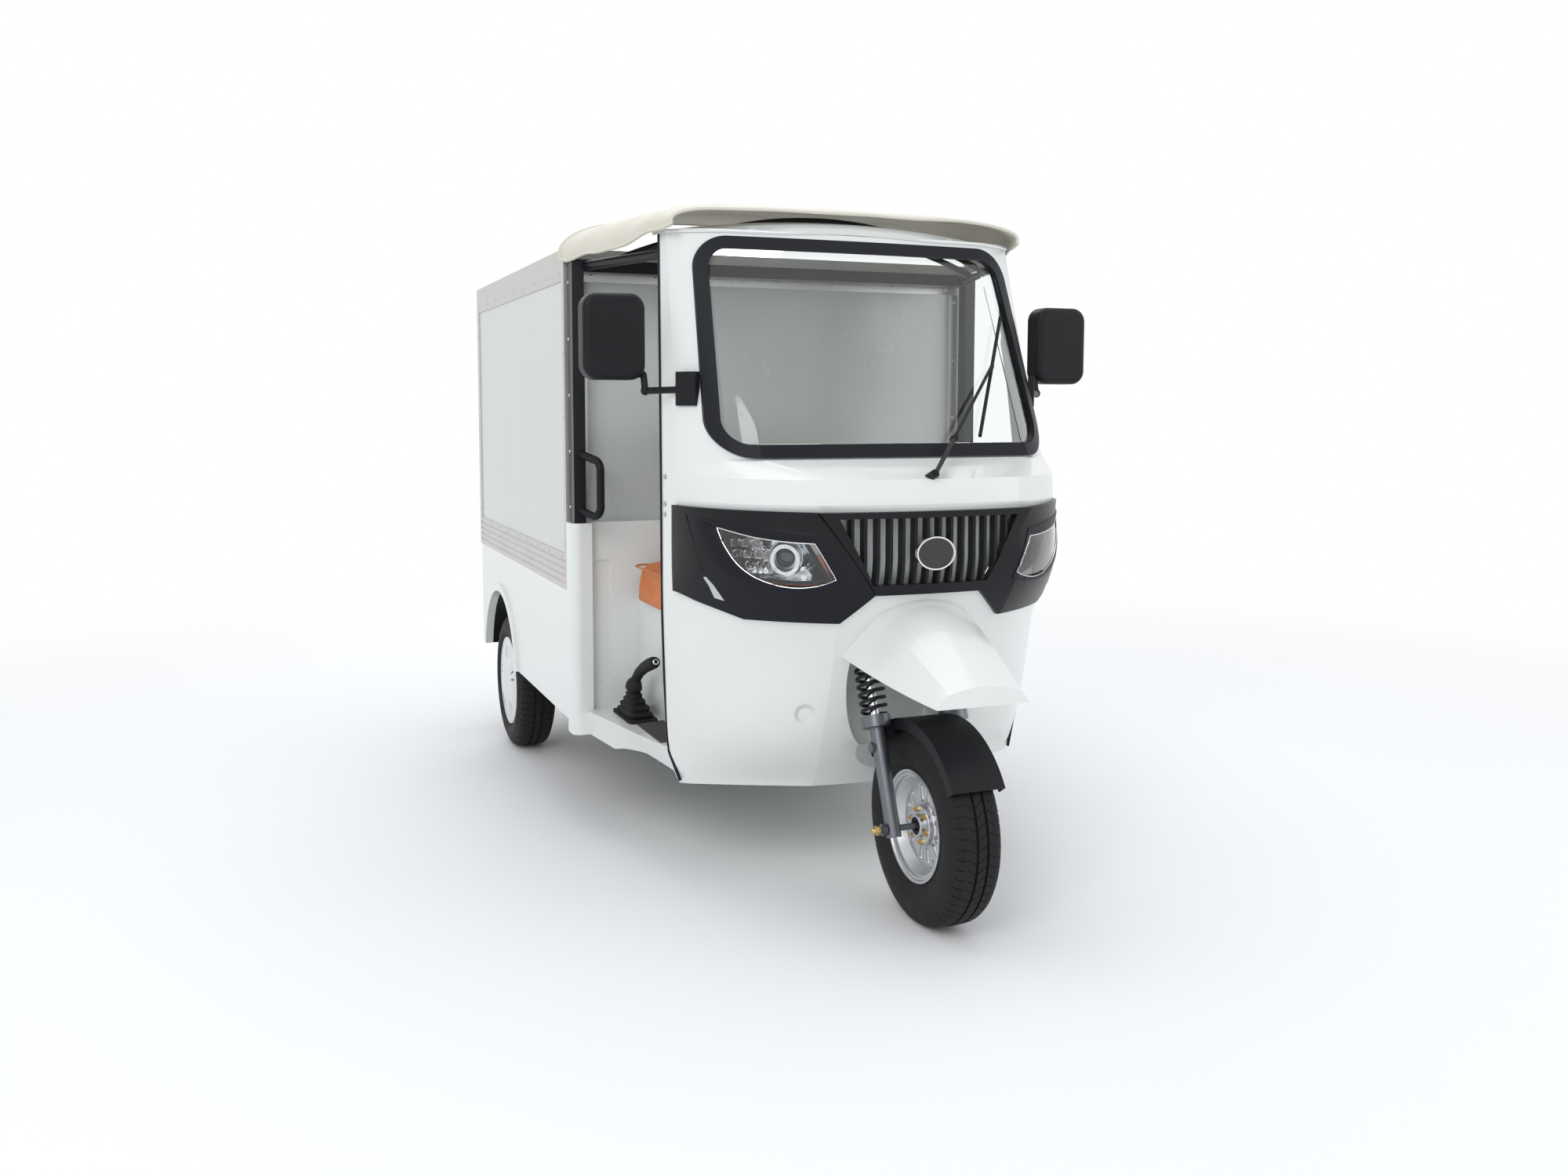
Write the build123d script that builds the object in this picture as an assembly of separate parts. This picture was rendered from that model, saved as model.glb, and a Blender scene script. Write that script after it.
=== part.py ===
from build123d import *
from math import hypot
import os

# Enclosed electric cargo tricycle, in millimetres.
# Stations: X to the vehicle's left, Y rearward from the front axle, Z up from the ground.
# Every finished piece is moved along Y at the end, so that the origin lies on the
# ground, on the centre line, midway between the nose and the rear bumper.

# Overall layout
WHEELBASE = 2200
REAR_TRACK = 1197
REAR_OVERHANG = 443
WALL = 12
SEAT_GAP = 0.3
TURN_GAP = 8

# Wheels and tyres
FRONT_TYRE_R = 252
FRONT_TYRE_W = 135
FRONT_BEAD_R = 127
REAR_TYRE_R = 254
REAR_TYRE_W = 145
REAR_BEAD_R = 152
RIM_WALL = 5
RIM_LIP = 15
HUB_R = 30
SPOKES = 9
SPOKE_X = -18
COVER_R = 166
COVER_SLITS = 5
DRUM_R = 92
GROOVE_W = 7
GROOVE_DEPTH = 6

# Steering
RAKE = 22
LEG_X = 112
LEG_R = 19
ROD_R = 12
SPRING_R = 32
SPRING_WIRE = 4.5
SPRING_TURNS = 8
SPRING_LOW = 285
SPRING_HIGH = 462
YOKE_LOW = 470
YOKE_T = 30
STEM_R = 14
HEAD_LOW = 545
HEAD_HIGH = 690
BAR_S = 900
BAR_R = 11
BAR_HALF = 320
AXLE_R = 8
GUARD_GAP = 16
WELL_R = 172
WELL_TOP = 530

# Front body
SEAM_Z = 1063
SHELF_LOW_Z = 1125
SHELF_Z = 1172
CAB_TOP_Z = 1775
BAND_PROUD = 12
BAND_TOP_Z = 1050
BAND_END_Y = 400
DOOR_Y = 500
LAMP_DEEP = 70
LAMP_FACE_Y = 106
LAMP_SWEEP = 43.6
PROJECTOR_X = 62
PROJECTOR_Z = 921
GRILLE_CROWN = 1430
BEZEL = 9
GRILLE_BARS = 14
BAR_T = 8
BAR_D = 26
SEAL_W = 34
SEAL_PROUD = 9
GLASS_T = 5
BEAK_T = 6
SURROUND_T = 22
SCREEN_CORNER = 95
BADGE_W = 108
BADGE_H = 84
BADGE_Z = 941

# Cab tub, floor and seat
FLOOR_Z = 385
FLOOR_T = 30
TUB_FRONT_Y = 430
TUB_TOP_Z = 955
SEAT_HALF = 508
SEAT_OVERHANG = 36
SEAT_FRONT_Y = 660
SEAT_LOW_Z = 720
SEAT_HIGH_Z = 840

# Cab fittings
MAT_HALF = 440
MAT_T = 4
LEVER_X = -530
LEVER_Y = 920
LEVER_LEAN = 24
BOOT_FOLDS = 5
HOOP_TOP_Z = 1736
CANOPY_T = 8
CANOPY_TOP = 1873

# Cargo box
BOX_HALF = 688
BOX_FRONT_Y = 1070
BOX_REAR_Y = WHEELBASE + REAR_OVERHANG
BOX_LOW_Z = 746
BOX_HIGH_Z = 1773
TOP_RAIL_H = 94
LOW_RAIL_H = 110
RAIL_T = 34
PANEL_T = 26
PANEL_RECESS = 4
POST_W = 30
REAR_POST_W = 44
DOOR_T = 28
DOOR_GAP = 8
DOOR_FRAME_W = 34
HEADER_H = 60
FLOOR_PANEL_T = 24
LOW_RIBS = 4
HINGE_R = 8
HINGE_H = 60
HINGE_X = BOX_HALF - REAR_POST_W + 12
HINGE_Y = BOX_REAR_Y + HINGE_R + 1
HINGE_Z = (900, 1260, 1620)

# Rear skirts and wheel arches
SKIRT_T = 20
SKIRT_LOW_Z = 350
ARCH_R = 315
ARCH_Z = 286
ARCH_LIP = 26
ARCH_PROUD = 10
SKIRT_END_Y = BOX_REAR_Y - 33
HOUSING_GAP = 26
LAMP_X = BOX_HALF - 168
LAMP_Z = 620
REAR_END_Y = BOX_REAR_Y + 42

# Chassis
RAIL_X = 250
RAIL_W = 40
RAIL_H = 60
LOW_RAIL_TOP = FLOOR_Z - FLOOR_T
HIGH_RAIL_TOP = 520
BEARER_H = 50
NECK_Y = 455
NECK_HALF = 25
NECK_Z = 860
RAIL_END_Y = BOX_REAR_Y - 53
BEARER_Y = (BOX_FRONT_Y + 230, BOX_FRONT_Y + 490, BOX_FRONT_Y + 790, RAIL_END_Y - 30)
SPRING_X = 420
LEAVES = 3
LEAF_REACH = 380
LEAF_BOW = 110
LEAF_T = 8
MOTOR_R = 85
GEAR_R = 88
BATTERY_REAR_Y = WHEELBASE - 430
BATTERY_L = 180
BATTERY_LOW_Z = 300

# The cab's tub, hoop and seat line up with the cargo box behind them
TUB_HALF = BOX_HALF
TUB_BACK_Y = BOX_FRONT_Y - 40
HOOP_X = BOX_HALF - 28
HOOP_Y = BOX_FRONT_Y - 45
SEAT_REAR_Y = TUB_BACK_Y - 50

FRONT_END_Y = -FRONT_TYRE_R
CENTRE_SHIFT = -(FRONT_END_Y + REAR_END_Y) / 2


def block(x0, x1, y0, y1, z0, z1):
    """A block between two opposite corners."""
    middle = Pos((x0 + x1) / 2, (y0 + y1) / 2, (z0 + z1) / 2)
    return middle * Box(abs(x1 - x0), abs(y1 - y0), abs(z1 - z0))


def both(shape):
    """The shape and its mirror image across the centre line."""
    return [shape, mirror(shape, Plane.YZ)]


def rod(start, end, radius):
    """A round bar between two points."""
    line = Line(start, end)
    return sweep(Plane(origin=start, z_dir=line % 0) * Circle(radius), path=line)


def side_profile(points, x0, x1):
    """A flat outline of (y, z) points, extruded across the vehicle."""
    face = Plane.YZ * make_face(Polyline(*points, close=True))
    return Pos(x0, 0, 0) * extrude(face, amount=x1 - x0)


def front_profile(points, y0, y1):
    """A flat outline of (x, z) points, extruded along the vehicle."""
    face = Plane.XZ * make_face(Polyline(*points, close=True))
    return Pos(0, y1, 0) * extrude(face, amount=y1 - y0)


def pair(shape):
    """The shape with its mirror image, as one sub-part of two solids."""
    return Compound(children=both(shape))


def save(name, shape):
    """Writes one sub-part, moved so that the origin is midway along the vehicle."""
    moved = Pos(0, CENTRE_SHIFT, 0) * shape
    moved.label = name
    export_step(moved, f"parts/{name}.step")


# Plan sections of the front body, from the nose round to the door edge.
# Columns: height, nose y, then x and y of the crown end, flank, corner and door edge.
SCREEN_PLAN = [
    (CAB_TOP_Z, 484, 385, 499, 474, 530, 522, 562, 531, DOOR_Y + 98),
    (SHELF_Z, 190, 385, 205, 482, 285, 546, 400, 555, DOOR_Y + 8),
]
COWL_PLAN = [
    SCREEN_PLAN[-1],
    (SHELF_LOW_Z, 18, 260, 42, 434, 162, 549, 395, 556, DOOR_Y + 4),
    (SEAM_Z, 15, 262, 38, 436, 157, 550, 390, 557, DOOR_Y),
]
LOWER_PLAN = [
    (SEAM_Z, 15, 262, 38, 436, 157, 550, 390, 557, DOOR_Y),
    (930, 18, 262, 42, 436, 158, 550, 392, 557, DOOR_Y),
    (820, 46, 246, 66, 410, 172, 548, 396, 557, DOOR_Y),
    (740, 84, 226, 104, 386, 204, 545, 405, 556, DOOR_Y),
    (560, 150, 215, 170, 391, 270, 539, 435, 551, DOOR_Y),
    (370, 240, 202, 260, 394, 360, 522, 468, 541, DOOR_Y),
    (280, 320, 195, 338, 380, 425, 490, 482, 512, DOOR_Y),
]


def plan_face(row, out, back=0):
    """One plan section, moved outward by out, with its open end moved rearward."""
    z, nose, ax, ay, mx, my, cx, cy, dx, dy = row
    crown = (ax + 0.25 * out, ay - 0.97 * out)
    flank = (mx + 0.68 * out, my - 0.73 * out)
    corner = (cx + out, cy - 0.15 * out)
    door = (dx + out, dy + back)
    front = ThreePointArc((-crown[0], crown[1]), (0, nose - out), crown)
    left = ThreePointArc(crown, flank, corner)
    right = mirror(left, Plane.YZ)
    side = Line(corner, door)
    rear = Line(door, (-door[0], door[1]))
    far_side = mirror(side, Plane.YZ)
    outline = Wire([front.edge(), left.edge(), side.edge(), rear.edge(), far_side.edge(), right.edge()])
    return Pos(0, 0, z) * Face(outline)


def stretched(end, next_row, amount):
    """A plan section carried on past its end of the form by an amount of height."""
    share = amount / abs(end[0] - next_row[0])
    return tuple(value + share * (value - other) for value, other in zip(end, next_row))


def plan_loft(rows, out, back=0, low=0, high=0, ruled=False):
    """A body form through plan sections; low and high carry on its two ends."""
    rows = [stretched(rows[0], rows[1], high), *rows[1:-1], stretched(rows[-1], rows[-2], low)]
    return loft([plan_face(row, out, back) for row in rows], ruled=ruled)


# Body forms at a given offset from the painted surface
def lower_form(out, back=0, low=0, high=0):
    return plan_loft(LOWER_PLAN, out, back, low, high)


def cowl_form(out, back=0, low=0, high=0):
    return plan_loft(COWL_PLAN, out, back, low, high, ruled=True)


def screen_form(out, back=0, low=0, high=0):
    return plan_loft(SCREEN_PLAN, out, back, low, high, ruled=True)


# The steering frame: its z axis is the raked steering axis through the front axle
AXLE = (0, 0, FRONT_TYRE_R)
FORK = Pos(*AXLE) * Rot(X=-RAKE)


def fork_point(x, forward, up):
    """A point of the raked frame, in stations."""
    point = FORK * Pos(x, -forward, up)
    return tuple(point.position)


def fork_tube(x, low, high, radius, forward=0):
    """A round tube parallel to the steering axis."""
    return FORK * Pos(x, -forward, (low + high) / 2) * Cylinder(radius, high - low)


# Wheels
def tyre(radius, width, bead_r, grooves):
    """A tyre section turned about the wheel's axis, with round shoulders and rib grooves."""
    half = width / 2
    shoulder = 0.2 * width
    wall = bead_r + 0.52 * (radius - bead_r)
    bead = 0.39 * width
    heel = bead_r + RIM_LIP + 2
    outline = Wire([
        Line((-bead, bead_r), (bead, bead_r)).edge(),
        Line((bead, bead_r), (bead, heel)).edge(),
        ThreePointArc((bead, heel), (half, wall), (half - 0.25 * shoulder, radius - shoulder)).edge(),
        ThreePointArc(
            (half - 0.25 * shoulder, radius - shoulder),
            (half - 0.6 * shoulder, radius - 0.3 * shoulder),
            (half - 1.3 * shoulder, radius - 2),
        ).edge(),
        ThreePointArc(
            (half - 1.3 * shoulder, radius - 2), (0, radius), (1.3 * shoulder - half, radius - 2)
        ).edge(),
        ThreePointArc(
            (1.3 * shoulder - half, radius - 2),
            (0.6 * shoulder - half, radius - 0.3 * shoulder),
            (0.25 * shoulder - half, radius - shoulder),
        ).edge(),
        ThreePointArc((0.25 * shoulder - half, radius - shoulder), (-half, wall), (-bead, heel)).edge(),
        Line((-bead, heel), (-bead, bead_r)).edge(),
    ])
    body = revolve(Face(outline), Axis.X)
    for x in grooves:
        ring = Cylinder(radius + 1, GROOVE_W) - Cylinder(radius - GROOVE_DEPTH, GROOVE_W)
        body -= Pos(x, 0, 0) * Rot(Y=90) * ring
    return body


def turned(points):
    """A closed outline of (x, radius) points turned about the wheel's axis."""
    return revolve(make_face(Polyline(*points, close=True)), Axis.X)


def rim_barrel(bead_r, width):
    """A drop-centre rim with a rolled lip on each side."""
    seat = bead_r - SEAT_GAP
    half = 0.39 * width
    lip = half + 5
    drop = 0.16 * width
    outer = [
        (-lip, seat + RIM_LIP), (-half - SEAT_GAP, seat + RIM_LIP), (-half - SEAT_GAP, seat),
        (-2 * drop, seat), (-drop, seat - 18), (drop, seat - 18), (2 * drop, seat),
        (half + SEAT_GAP, seat), (half + SEAT_GAP, seat + RIM_LIP), (lip, seat + RIM_LIP),
    ]
    inner = [
        (lip, seat - RIM_WALL), (2 * drop + 2, seat - RIM_WALL), (drop + 2, seat - 18 - RIM_WALL),
        (-drop - 2, seat - 18 - RIM_WALL), (-2 * drop - 2, seat - RIM_WALL), (-lip, seat - RIM_WALL),
    ]
    return turned(outer + inner)


def front_rim():
    """A cast rim: a barrel, a hub ring and split spokes between them."""
    rim = rim_barrel(FRONT_BEAD_R, FRONT_TYRE_W)
    hub = Rot(Y=90) * (Cylinder(HUB_R + 22, 16) - Cylinder(HUB_R, 16))
    rim += Pos(SPOKE_X, 0, 0) * hub
    reach = FRONT_BEAD_R - 18 - RIM_WALL + 2
    middle = (HUB_R + 18 + reach) / 2
    arm = Pos(0, 0, middle) * Box(10, 13, reach - HUB_R - 18)
    for count in range(SPOKES):
        rim += Pos(SPOKE_X, 0, 0) * Rot(X=count * 360 / SPOKES) * arm
    return rim


def rear_rim():
    """A pressed rim behind a domed cover with paired slits, on its brake drum."""
    rim = rim_barrel(REAR_BEAD_R, REAR_TYRE_W)
    face = 0.39 * REAR_TYRE_W + 5
    cover = turned([
        (face - 14, 0), (face + 8, 0), (face + 12, 50), (face + 11, 110), (face + 4, COVER_R),
        (face + 0.2, COVER_R), (face + 0.2, REAR_BEAD_R - RIM_WALL - 4), (face - 6, 110), (face - 14, 60),
    ])
    for count in range(COVER_SLITS):
        for turn in (-7, 7):
            slit = Pos(face, 0, 112) * Box(60, 9, 46)
            cover -= Rot(X=count * 360 / COVER_SLITS + turn) * slit
    drum = turned([(-face + 30, 0), (face - 10, 0), (face - 10, DRUM_R), (-face + 30, DRUM_R)])
    web = turned([(0, 0), (8, 0), (8, REAR_BEAD_R - 20), (0, REAR_BEAD_R - 20)])
    return rim + cover + drum + web


def wheels():
    front = Pos(*AXLE)
    save("front_tyre", front * tyre(FRONT_TYRE_R, FRONT_TYRE_W, FRONT_BEAD_R, (-40, -14, 14, 40)))
    save("front_rim", front * front_rim())
    hub = Cylinder(HUB_R - SEAT_GAP, 96) - Cylinder(AXLE_R + SEAT_GAP, 96)
    save("front_hub", front * Rot(Y=90) * hub)
    left_tyre = tyre(REAR_TYRE_R, REAR_TYRE_W, REAR_BEAD_R, (-42, -14, 14, 42))
    left_rim = rear_rim()
    for name, side in (("left", 1), ("right", -1)):
        turn = Rot(Z=0 if side > 0 else 180)
        place = Pos(side * REAR_TRACK / 2, WHEELBASE, REAR_TYRE_R) * turn
        save(f"rear_tyre_{name}", place * left_tyre)
        save(f"rear_rim_{name}", place * left_rim)


# Steering: fork, springs, mudguard and handlebar
def coil(x):
    """One suspension spring round a fork rod."""
    pitch = (SPRING_HIGH - SPRING_LOW - 2 * SPRING_WIRE) / SPRING_TURNS
    path = Helix(pitch=pitch, height=pitch * SPRING_TURNS, radius=SPRING_R)
    section = Plane(origin=path @ 0, z_dir=path % 0) * Circle(SPRING_WIRE)
    return FORK * Pos(x, 0, SPRING_LOW + SPRING_WIRE) * sweep(section, path=path)


def fork():
    """Two sliders joined by the axle, their rods, the yoke and the stem."""
    legs = []
    for x in (-LEG_X, LEG_X):
        outer = 1 if x > 0 else -1
        leg = fork_tube(x, -22, SPRING_LOW - 20, LEG_R)
        leg += fork_tube(x, SPRING_LOW - 30, SPRING_LOW - SEAT_GAP, SPRING_R + 6)
        leg += fork_tube(x, SPRING_LOW - 40, YOKE_LOW, ROD_R)
        leg += FORK * Pos(x + outer * 12, 0, 205) * Rot(Y=90) * Cylinder(13, 30)
        leg += fork_tube(x, SPRING_HIGH + SEAT_GAP, YOKE_LOW, SPRING_R + 4)
        legs.append(leg)
    yoke = FORK * Pos(0, 0, YOKE_LOW + YOKE_T / 2) * Box(2 * LEG_X + 70, 64, YOKE_T)
    shaft = fork_tube(0, YOKE_LOW, BAR_S, STEM_R)
    axle = Pos(*AXLE) * Rot(Y=90) * Cylinder(AXLE_R, 2 * LEG_X + 70)
    nuts = Pos(*AXLE) * Rot(Y=90) * (Cylinder(15, 2 * LEG_X + 62) - Cylinder(15, 2 * LEG_X + 40))
    save("fork", legs[0] + legs[1] + yoke + shaft + axle + nuts)
    save("fork_springs", Compound(children=[coil(-LEG_X), coil(LEG_X)]))


def inner_mudguard():
    """A plastic arch over the tyre, carried by a stay from each leg."""
    low = FRONT_TYRE_R + GUARD_GAP
    half = FRONT_TYRE_W / 2 + 4
    ring = turned([(-half, low), (half, low), (half, low + 4), (-half, low + 4)])
    for x in (-half, half - 4):
        ring += turned([(x, low - 26), (x + 4, low - 26), (x + 4, low + 4), (x, low + 4)])
    front = side_profile([(0, 0), (-380, 240), (-380, 420), (0, 420)], -half - 1, half + 1)
    rear = side_profile([(0, 0), (0, 420), (300, 420), (300, 190)], -half - 1, half + 1)
    guard = Pos(*AXLE) * (ring & (front + rear))
    for x in (-LEG_X + LEG_R + SEAT_GAP, LEG_X - LEG_R - SEAT_GAP):
        inner = -half if x < 0 else half
        tab = FORK * Pos((x + inner) / 2, 0, SPRING_LOW - 45) * Box(abs(x - inner) + 0.1, 30, 24)
        guard += tab
    save("inner_mudguard", guard)


def handlebar():
    """A swept bar with two grips and a clamp on the stem."""
    centre = fork_point(0, 0, BAR_S + BAR_R)
    x, y, z = centre
    points = [(-BAR_HALF, y + 85, z), (-130, y, z), (130, y, z), (BAR_HALF, y + 85, z)]
    path = FilletPolyline(*points, radius=60)
    bar = sweep(Plane(origin=path @ 0, z_dir=path % 0) * Circle(BAR_R), path=path)
    clamp = fork_tube(0, BAR_S - 34, BAR_S + 2 * BAR_R + 6, STEM_R + 12)
    bar += clamp - fork_tube(0, BAR_S - 40, BAR_S + SEAT_GAP, STEM_R + SEAT_GAP)
    save("handlebar", bar)
    grips = []
    for start, end in ((path @ 0, path @ 0.2), (path @ 1, path @ 0.8)):
        way = (end - start).normalized()
        place = Plane(origin=start, z_dir=way)
        grip = place * Pos(0, 0, 60) * Cylinder(17, 112)
        hole = place * Pos(0, 0, 65) * Cylinder(BAR_R + SEAT_GAP, 130)
        grips.append(grip - hole)
    save("handlebar_grips", Compound(children=grips))


# Front body, from the seam down to the sill
def steering_well(extra):
    """The space that the fork and the front wheel sweep when they are steered."""
    column = fork_tube(0, -150, WELL_TOP + extra, WELL_R + extra)
    guard = hypot(FRONT_TYRE_R + GUARD_GAP + 4, FRONT_TYRE_W / 2 + 4)
    ball = Pos(*AXLE) * Sphere(guard + TURN_GAP + extra)
    return column + ball


def lower_front_body():
    outer = lower_form(0)
    cavity = lower_form(-WALL, back=60, high=20) - block(-700, 700, 0, 700, 200, 280 + WALL)
    shell = outer - (cavity - steering_well(WALL)) - steering_well(0)
    shell -= fork_tube(0, YOKE_LOW, HEAD_LOW, STEM_R + 6)
    ahead = block(-700, 700, -300, BAND_END_Y, 700, SEAM_Z - 1)
    behind = steering_well(WALL)
    flanks = both(front_profile(FLANK_POINTS, -200, BAND_END_Y))
    for opening in (*flanks, front_profile(GRILLE_POINTS, -200, 200)):
        shell -= (opening & ahead) - behind
    save("lower_front_body", shell)


# Outlines seen from the front, as (x, z) points on the left side of the vehicle
LAMP_POINTS = [
    (302, 974), (402, 995), (528, 1013), (500, 925), (455, 885), (400, 866), (320, 862), (252, 869),
]
FLANK_POINTS = [
    (300, BAND_TOP_Z - 4), (430, BAND_TOP_Z - 2), (600, BAND_TOP_Z), (600, 830), (552, 822), (522, 805),
    (432, 768), (225, 764), (148, 836),
]
GRILLE_POINTS = [(299.5, BAND_TOP_Z - 4), (147.5, 836), (-147.5, 836), (-299.5, BAND_TOP_Z - 4)]
OPENING_POINTS = [(250, 1030), (160, 863), (-160, 863), (-250, 1030)]


def lamp_outline(out):
    """The headlamp's outline, grown by out and extruded through the front."""
    face = make_face(Polyline(*LAMP_POINTS, close=True))
    grown = offset(face, amount=out, kind=Kind.INTERSECTION)
    return Pos(0, 700, 0) * extrude(Plane.XZ * grown, amount=900)


def lamp_band():
    """The black flank parts that carry the headlamps."""
    skin = lower_form(BAND_PROUD) - lower_form(-WALL + 2, back=10, high=10)
    ahead = block(0, 700, -200, BAND_END_Y - SEAT_GAP, 700, SEAM_Z)
    outline = front_profile(shrunk_points(FLANK_POINTS), -200, 700)
    flank = skin & ahead & outline
    flank -= lamp_outline(SEAT_GAP)
    save("lamp_bands", pair(flank))


def shrunk_points(points):
    """An outline pulled in all round by the seating gap."""
    face = offset(make_face(Polyline(*points, close=True)), amount=-SEAT_GAP, kind=Kind.INTERSECTION)
    corners = face.faces()[0].outer_wire().order_edges()
    return [tuple(edge @ 0)[:2] for edge in corners]


def lamp_slab(front, rear):
    """A slab that runs along the flank's chord, between two depths behind it."""
    depth = rear - front
    place = Pos(LAMP_POINTS[0][0], LAMP_FACE_Y, 900) * Rot(Z=LAMP_SWEEP)
    return place * Pos(0, front + depth / 2, 0) * Box(900, depth, 400)


def headlamps():
    """A reflector bowl with its projector, behind a clear lens."""
    outline = lamp_outline(-SEAT_GAP)
    bowl = (outline & lamp_slab(0, LAMP_DEEP)) - (lamp_outline(-BEZEL) & lamp_slab(-1, LAMP_DEEP - 6))
    place = Pos(LAMP_POINTS[0][0], LAMP_FACE_Y, PROJECTOR_Z) * Rot(Z=LAMP_SWEEP) * Pos(PROJECTOR_X, 0, 0)
    tube = Cylinder(40, LAMP_DEEP - 12) - Cylinder(30, LAMP_DEEP)
    ring = place * Pos(0, LAMP_DEEP / 2, 0) * Rot(X=90) * tube
    core = place * Pos(0, LAMP_DEEP - 18, 0) * Rot(X=90) * Cylinder(26, 36)
    bowl += ring + core
    glass = (outline & lower_form(BAND_PROUD - 3)) - lower_form(BAND_PROUD - 7, back=10, high=10)
    save("headlamps", pair(bowl))
    save("headlamp_lenses", pair(glass))


def grille_form(out):
    """The crowned nose behind which the grille sits, turned about a far vertical axis."""
    nose = GRILLE_CROWN + out
    profile = Wire([
        Line((0, 800), (nose - 42, 800)).edge(),
        ThreePointArc((nose - 42, 800), (nose - 8, 872), (nose, 950)).edge(),
        Line((nose, 950), (nose, 1100)).edge(),
        Line((nose, 1100), (0, 1100)).edge(),
        Line((0, 1100), (0, 800)).edge(),
    ])
    turned_nose = revolve(Plane.XZ * Face(profile), Axis.Z, 40)
    return Pos(0, GRILLE_CROWN + LOWER_PLAN[0][1], 0) * Rot(Z=-110) * turned_nose


def grille():
    """A trapezoid frame with upright curved bars and a back plate."""
    outline = front_profile(shrunk_points(GRILLE_POINTS), -200, 200)
    frame = (grille_form(BAND_PROUD) - grille_form(-WALL)) & outline
    frame -= front_profile(OPENING_POINTS, -200, 300)
    pitch = 2 * OPENING_POINTS[0][0] / (GRILLE_BARS + 1)
    field = front_profile(grown_points(OPENING_POINTS, 4), -200, 300)
    blades = grille_form(BAND_PROUD - 4) - grille_form(BAND_PROUD - 4 - BAR_D)
    for count in range(GRILLE_BARS):
        x = pitch * (count - (GRILLE_BARS - 1) / 2)
        frame += blades & block(x - BAR_T / 2, x + BAR_T / 2, -100, 200, 850, 1045) & field
    save("grille", frame)
    place = Pos(0, LOWER_PLAN[0][1] - BAND_PROUD + 4 - 2 * SEAT_GAP, BADGE_Z) * Rot(X=90)
    oval = Ellipse(BADGE_W / 2, BADGE_H / 2)
    boss = extrude(oval, amount=8)
    boss += extrude(oval - Ellipse(BADGE_W / 2 - 4, BADGE_H / 2 - 4), amount=11)
    save("grille_badge", place * boss)


def grown_points(points, amount):
    """The same outline, moved outward from its middle."""
    mid_z = (points[0][1] + points[1][1]) / 2
    return [(x + amount * (1 if x > 0 else -1), z + amount * (1 if z > mid_z else -1)) for x, z in points]


# Windscreen, seal and the white surround
def screen_outline(inset):
    """A rounded trapezoid seen from the front, pulled in from the seal's edge."""
    low, high = SHELF_Z + 2 + inset, CAB_TOP_Z - 17 - inset
    top, bottom = 470 - inset, 500 - inset
    face = make_face(Polyline((-bottom, low), (bottom, low), (top, high), (-top, high), close=True))
    sketch = fillet(face.vertices(), max(SCREEN_CORNER - inset, 20))
    return Pos(0, 900, 0) * extrude(Plane.XZ * sketch, amount=1000)


def upper_front_body():
    cowl = cowl_form(0) - cowl_form(-WALL, back=60, low=20, high=20)
    surround = screen_form(0) - screen_form(-SURROUND_T, back=60, low=20, high=20)
    roof = screen_form(0) & block(-700, 700, 300, 700, CAB_TOP_Z - SURROUND_T, CAB_TOP_Z)
    roof &= block(-700, 700, 300, DOOR_Y + 98, 1700, 1800)
    shell = cowl + surround + roof - screen_outline(SEAL_W / 2) - wiper_pivot(SEAT_GAP)
    save("upper_front_body", shell)


def windscreen():
    """The glass, and a rubber seal whose lip lies on the surround."""
    lip = screen_outline(0) - screen_outline(SEAL_W)
    seal = (lip & screen_form(SEAL_PROUD)) - screen_form(SEAT_GAP, back=20)
    core = screen_outline(SEAL_W / 2 + SEAT_GAP) - screen_outline(SEAL_W)
    seal += (core & screen_form(SEAL_PROUD)) - screen_form(-SURROUND_T, back=20)
    save("windscreen_seal", seal)
    pane = screen_outline(SEAL_W + SEAT_GAP) & screen_form(-4)
    save("windscreen_glass", pane - screen_form(-4 - GLASS_T, back=20))


# White beak over the front wheel, fixed to the body
def beak():
    """A tapered hood with a rounded top and open underside."""
    outer = loft([beak_section(row, 0) for row in BEAK_ROWS])
    inner = loft([beak_section(row, BEAK_T) for row in BEAK_ROWS])
    nose = block(-400, 400, BEAK_ROWS[-1][0], BEAK_ROWS[-1][0] + BEAK_T, 300, 1000)
    hood = outer - (inner - nose)
    save("front_beak", hood - lower_form(SEAT_GAP, back=100))


# Columns: station, half width at the rim, rim height, half width at the shoulder, crown height
BEAK_ROWS = [
    (240, 205, 690, 150, 830),
    (60, 185, 655, 128, 822),
    (-90, 160, 628, 112, 752),
    (-246, 124, 604, 92, 652),
]


def beak_section(row, inset):
    """One cross-section of the hood, open downward where it is inset."""
    y, half, rim, shoulder, crown = row
    drop = 60 if inset else 0
    side = half - inset
    top = crown - inset
    turn = shoulder - 0.5 * inset
    level = rim + 0.72 * (crown - rim) - inset
    bulge = 0.4 * side + 0.6 * turn + 8
    outline = Wire([
        Line((-side, rim - drop), (side, rim - drop)).edge(),
        ThreePointArc((side, rim - drop), (bulge, (rim + level) / 2), (turn, level)).edge(),
        ThreePointArc((turn, level), (0, top), (-turn, level)).edge(),
        ThreePointArc((-turn, level), (-bulge, (rim + level) / 2), (-side, rim - drop)).edge(),
    ])
    return Pos(0, y, 0) * (Plane.XZ * Face(outline))


def wiper_pivot(extra):
    """The wiper's spindle, square to the cowl."""
    return Pos(0, 26, 1132) * Rot(X=70) * Cylinder(11 + extra, 44)


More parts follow.
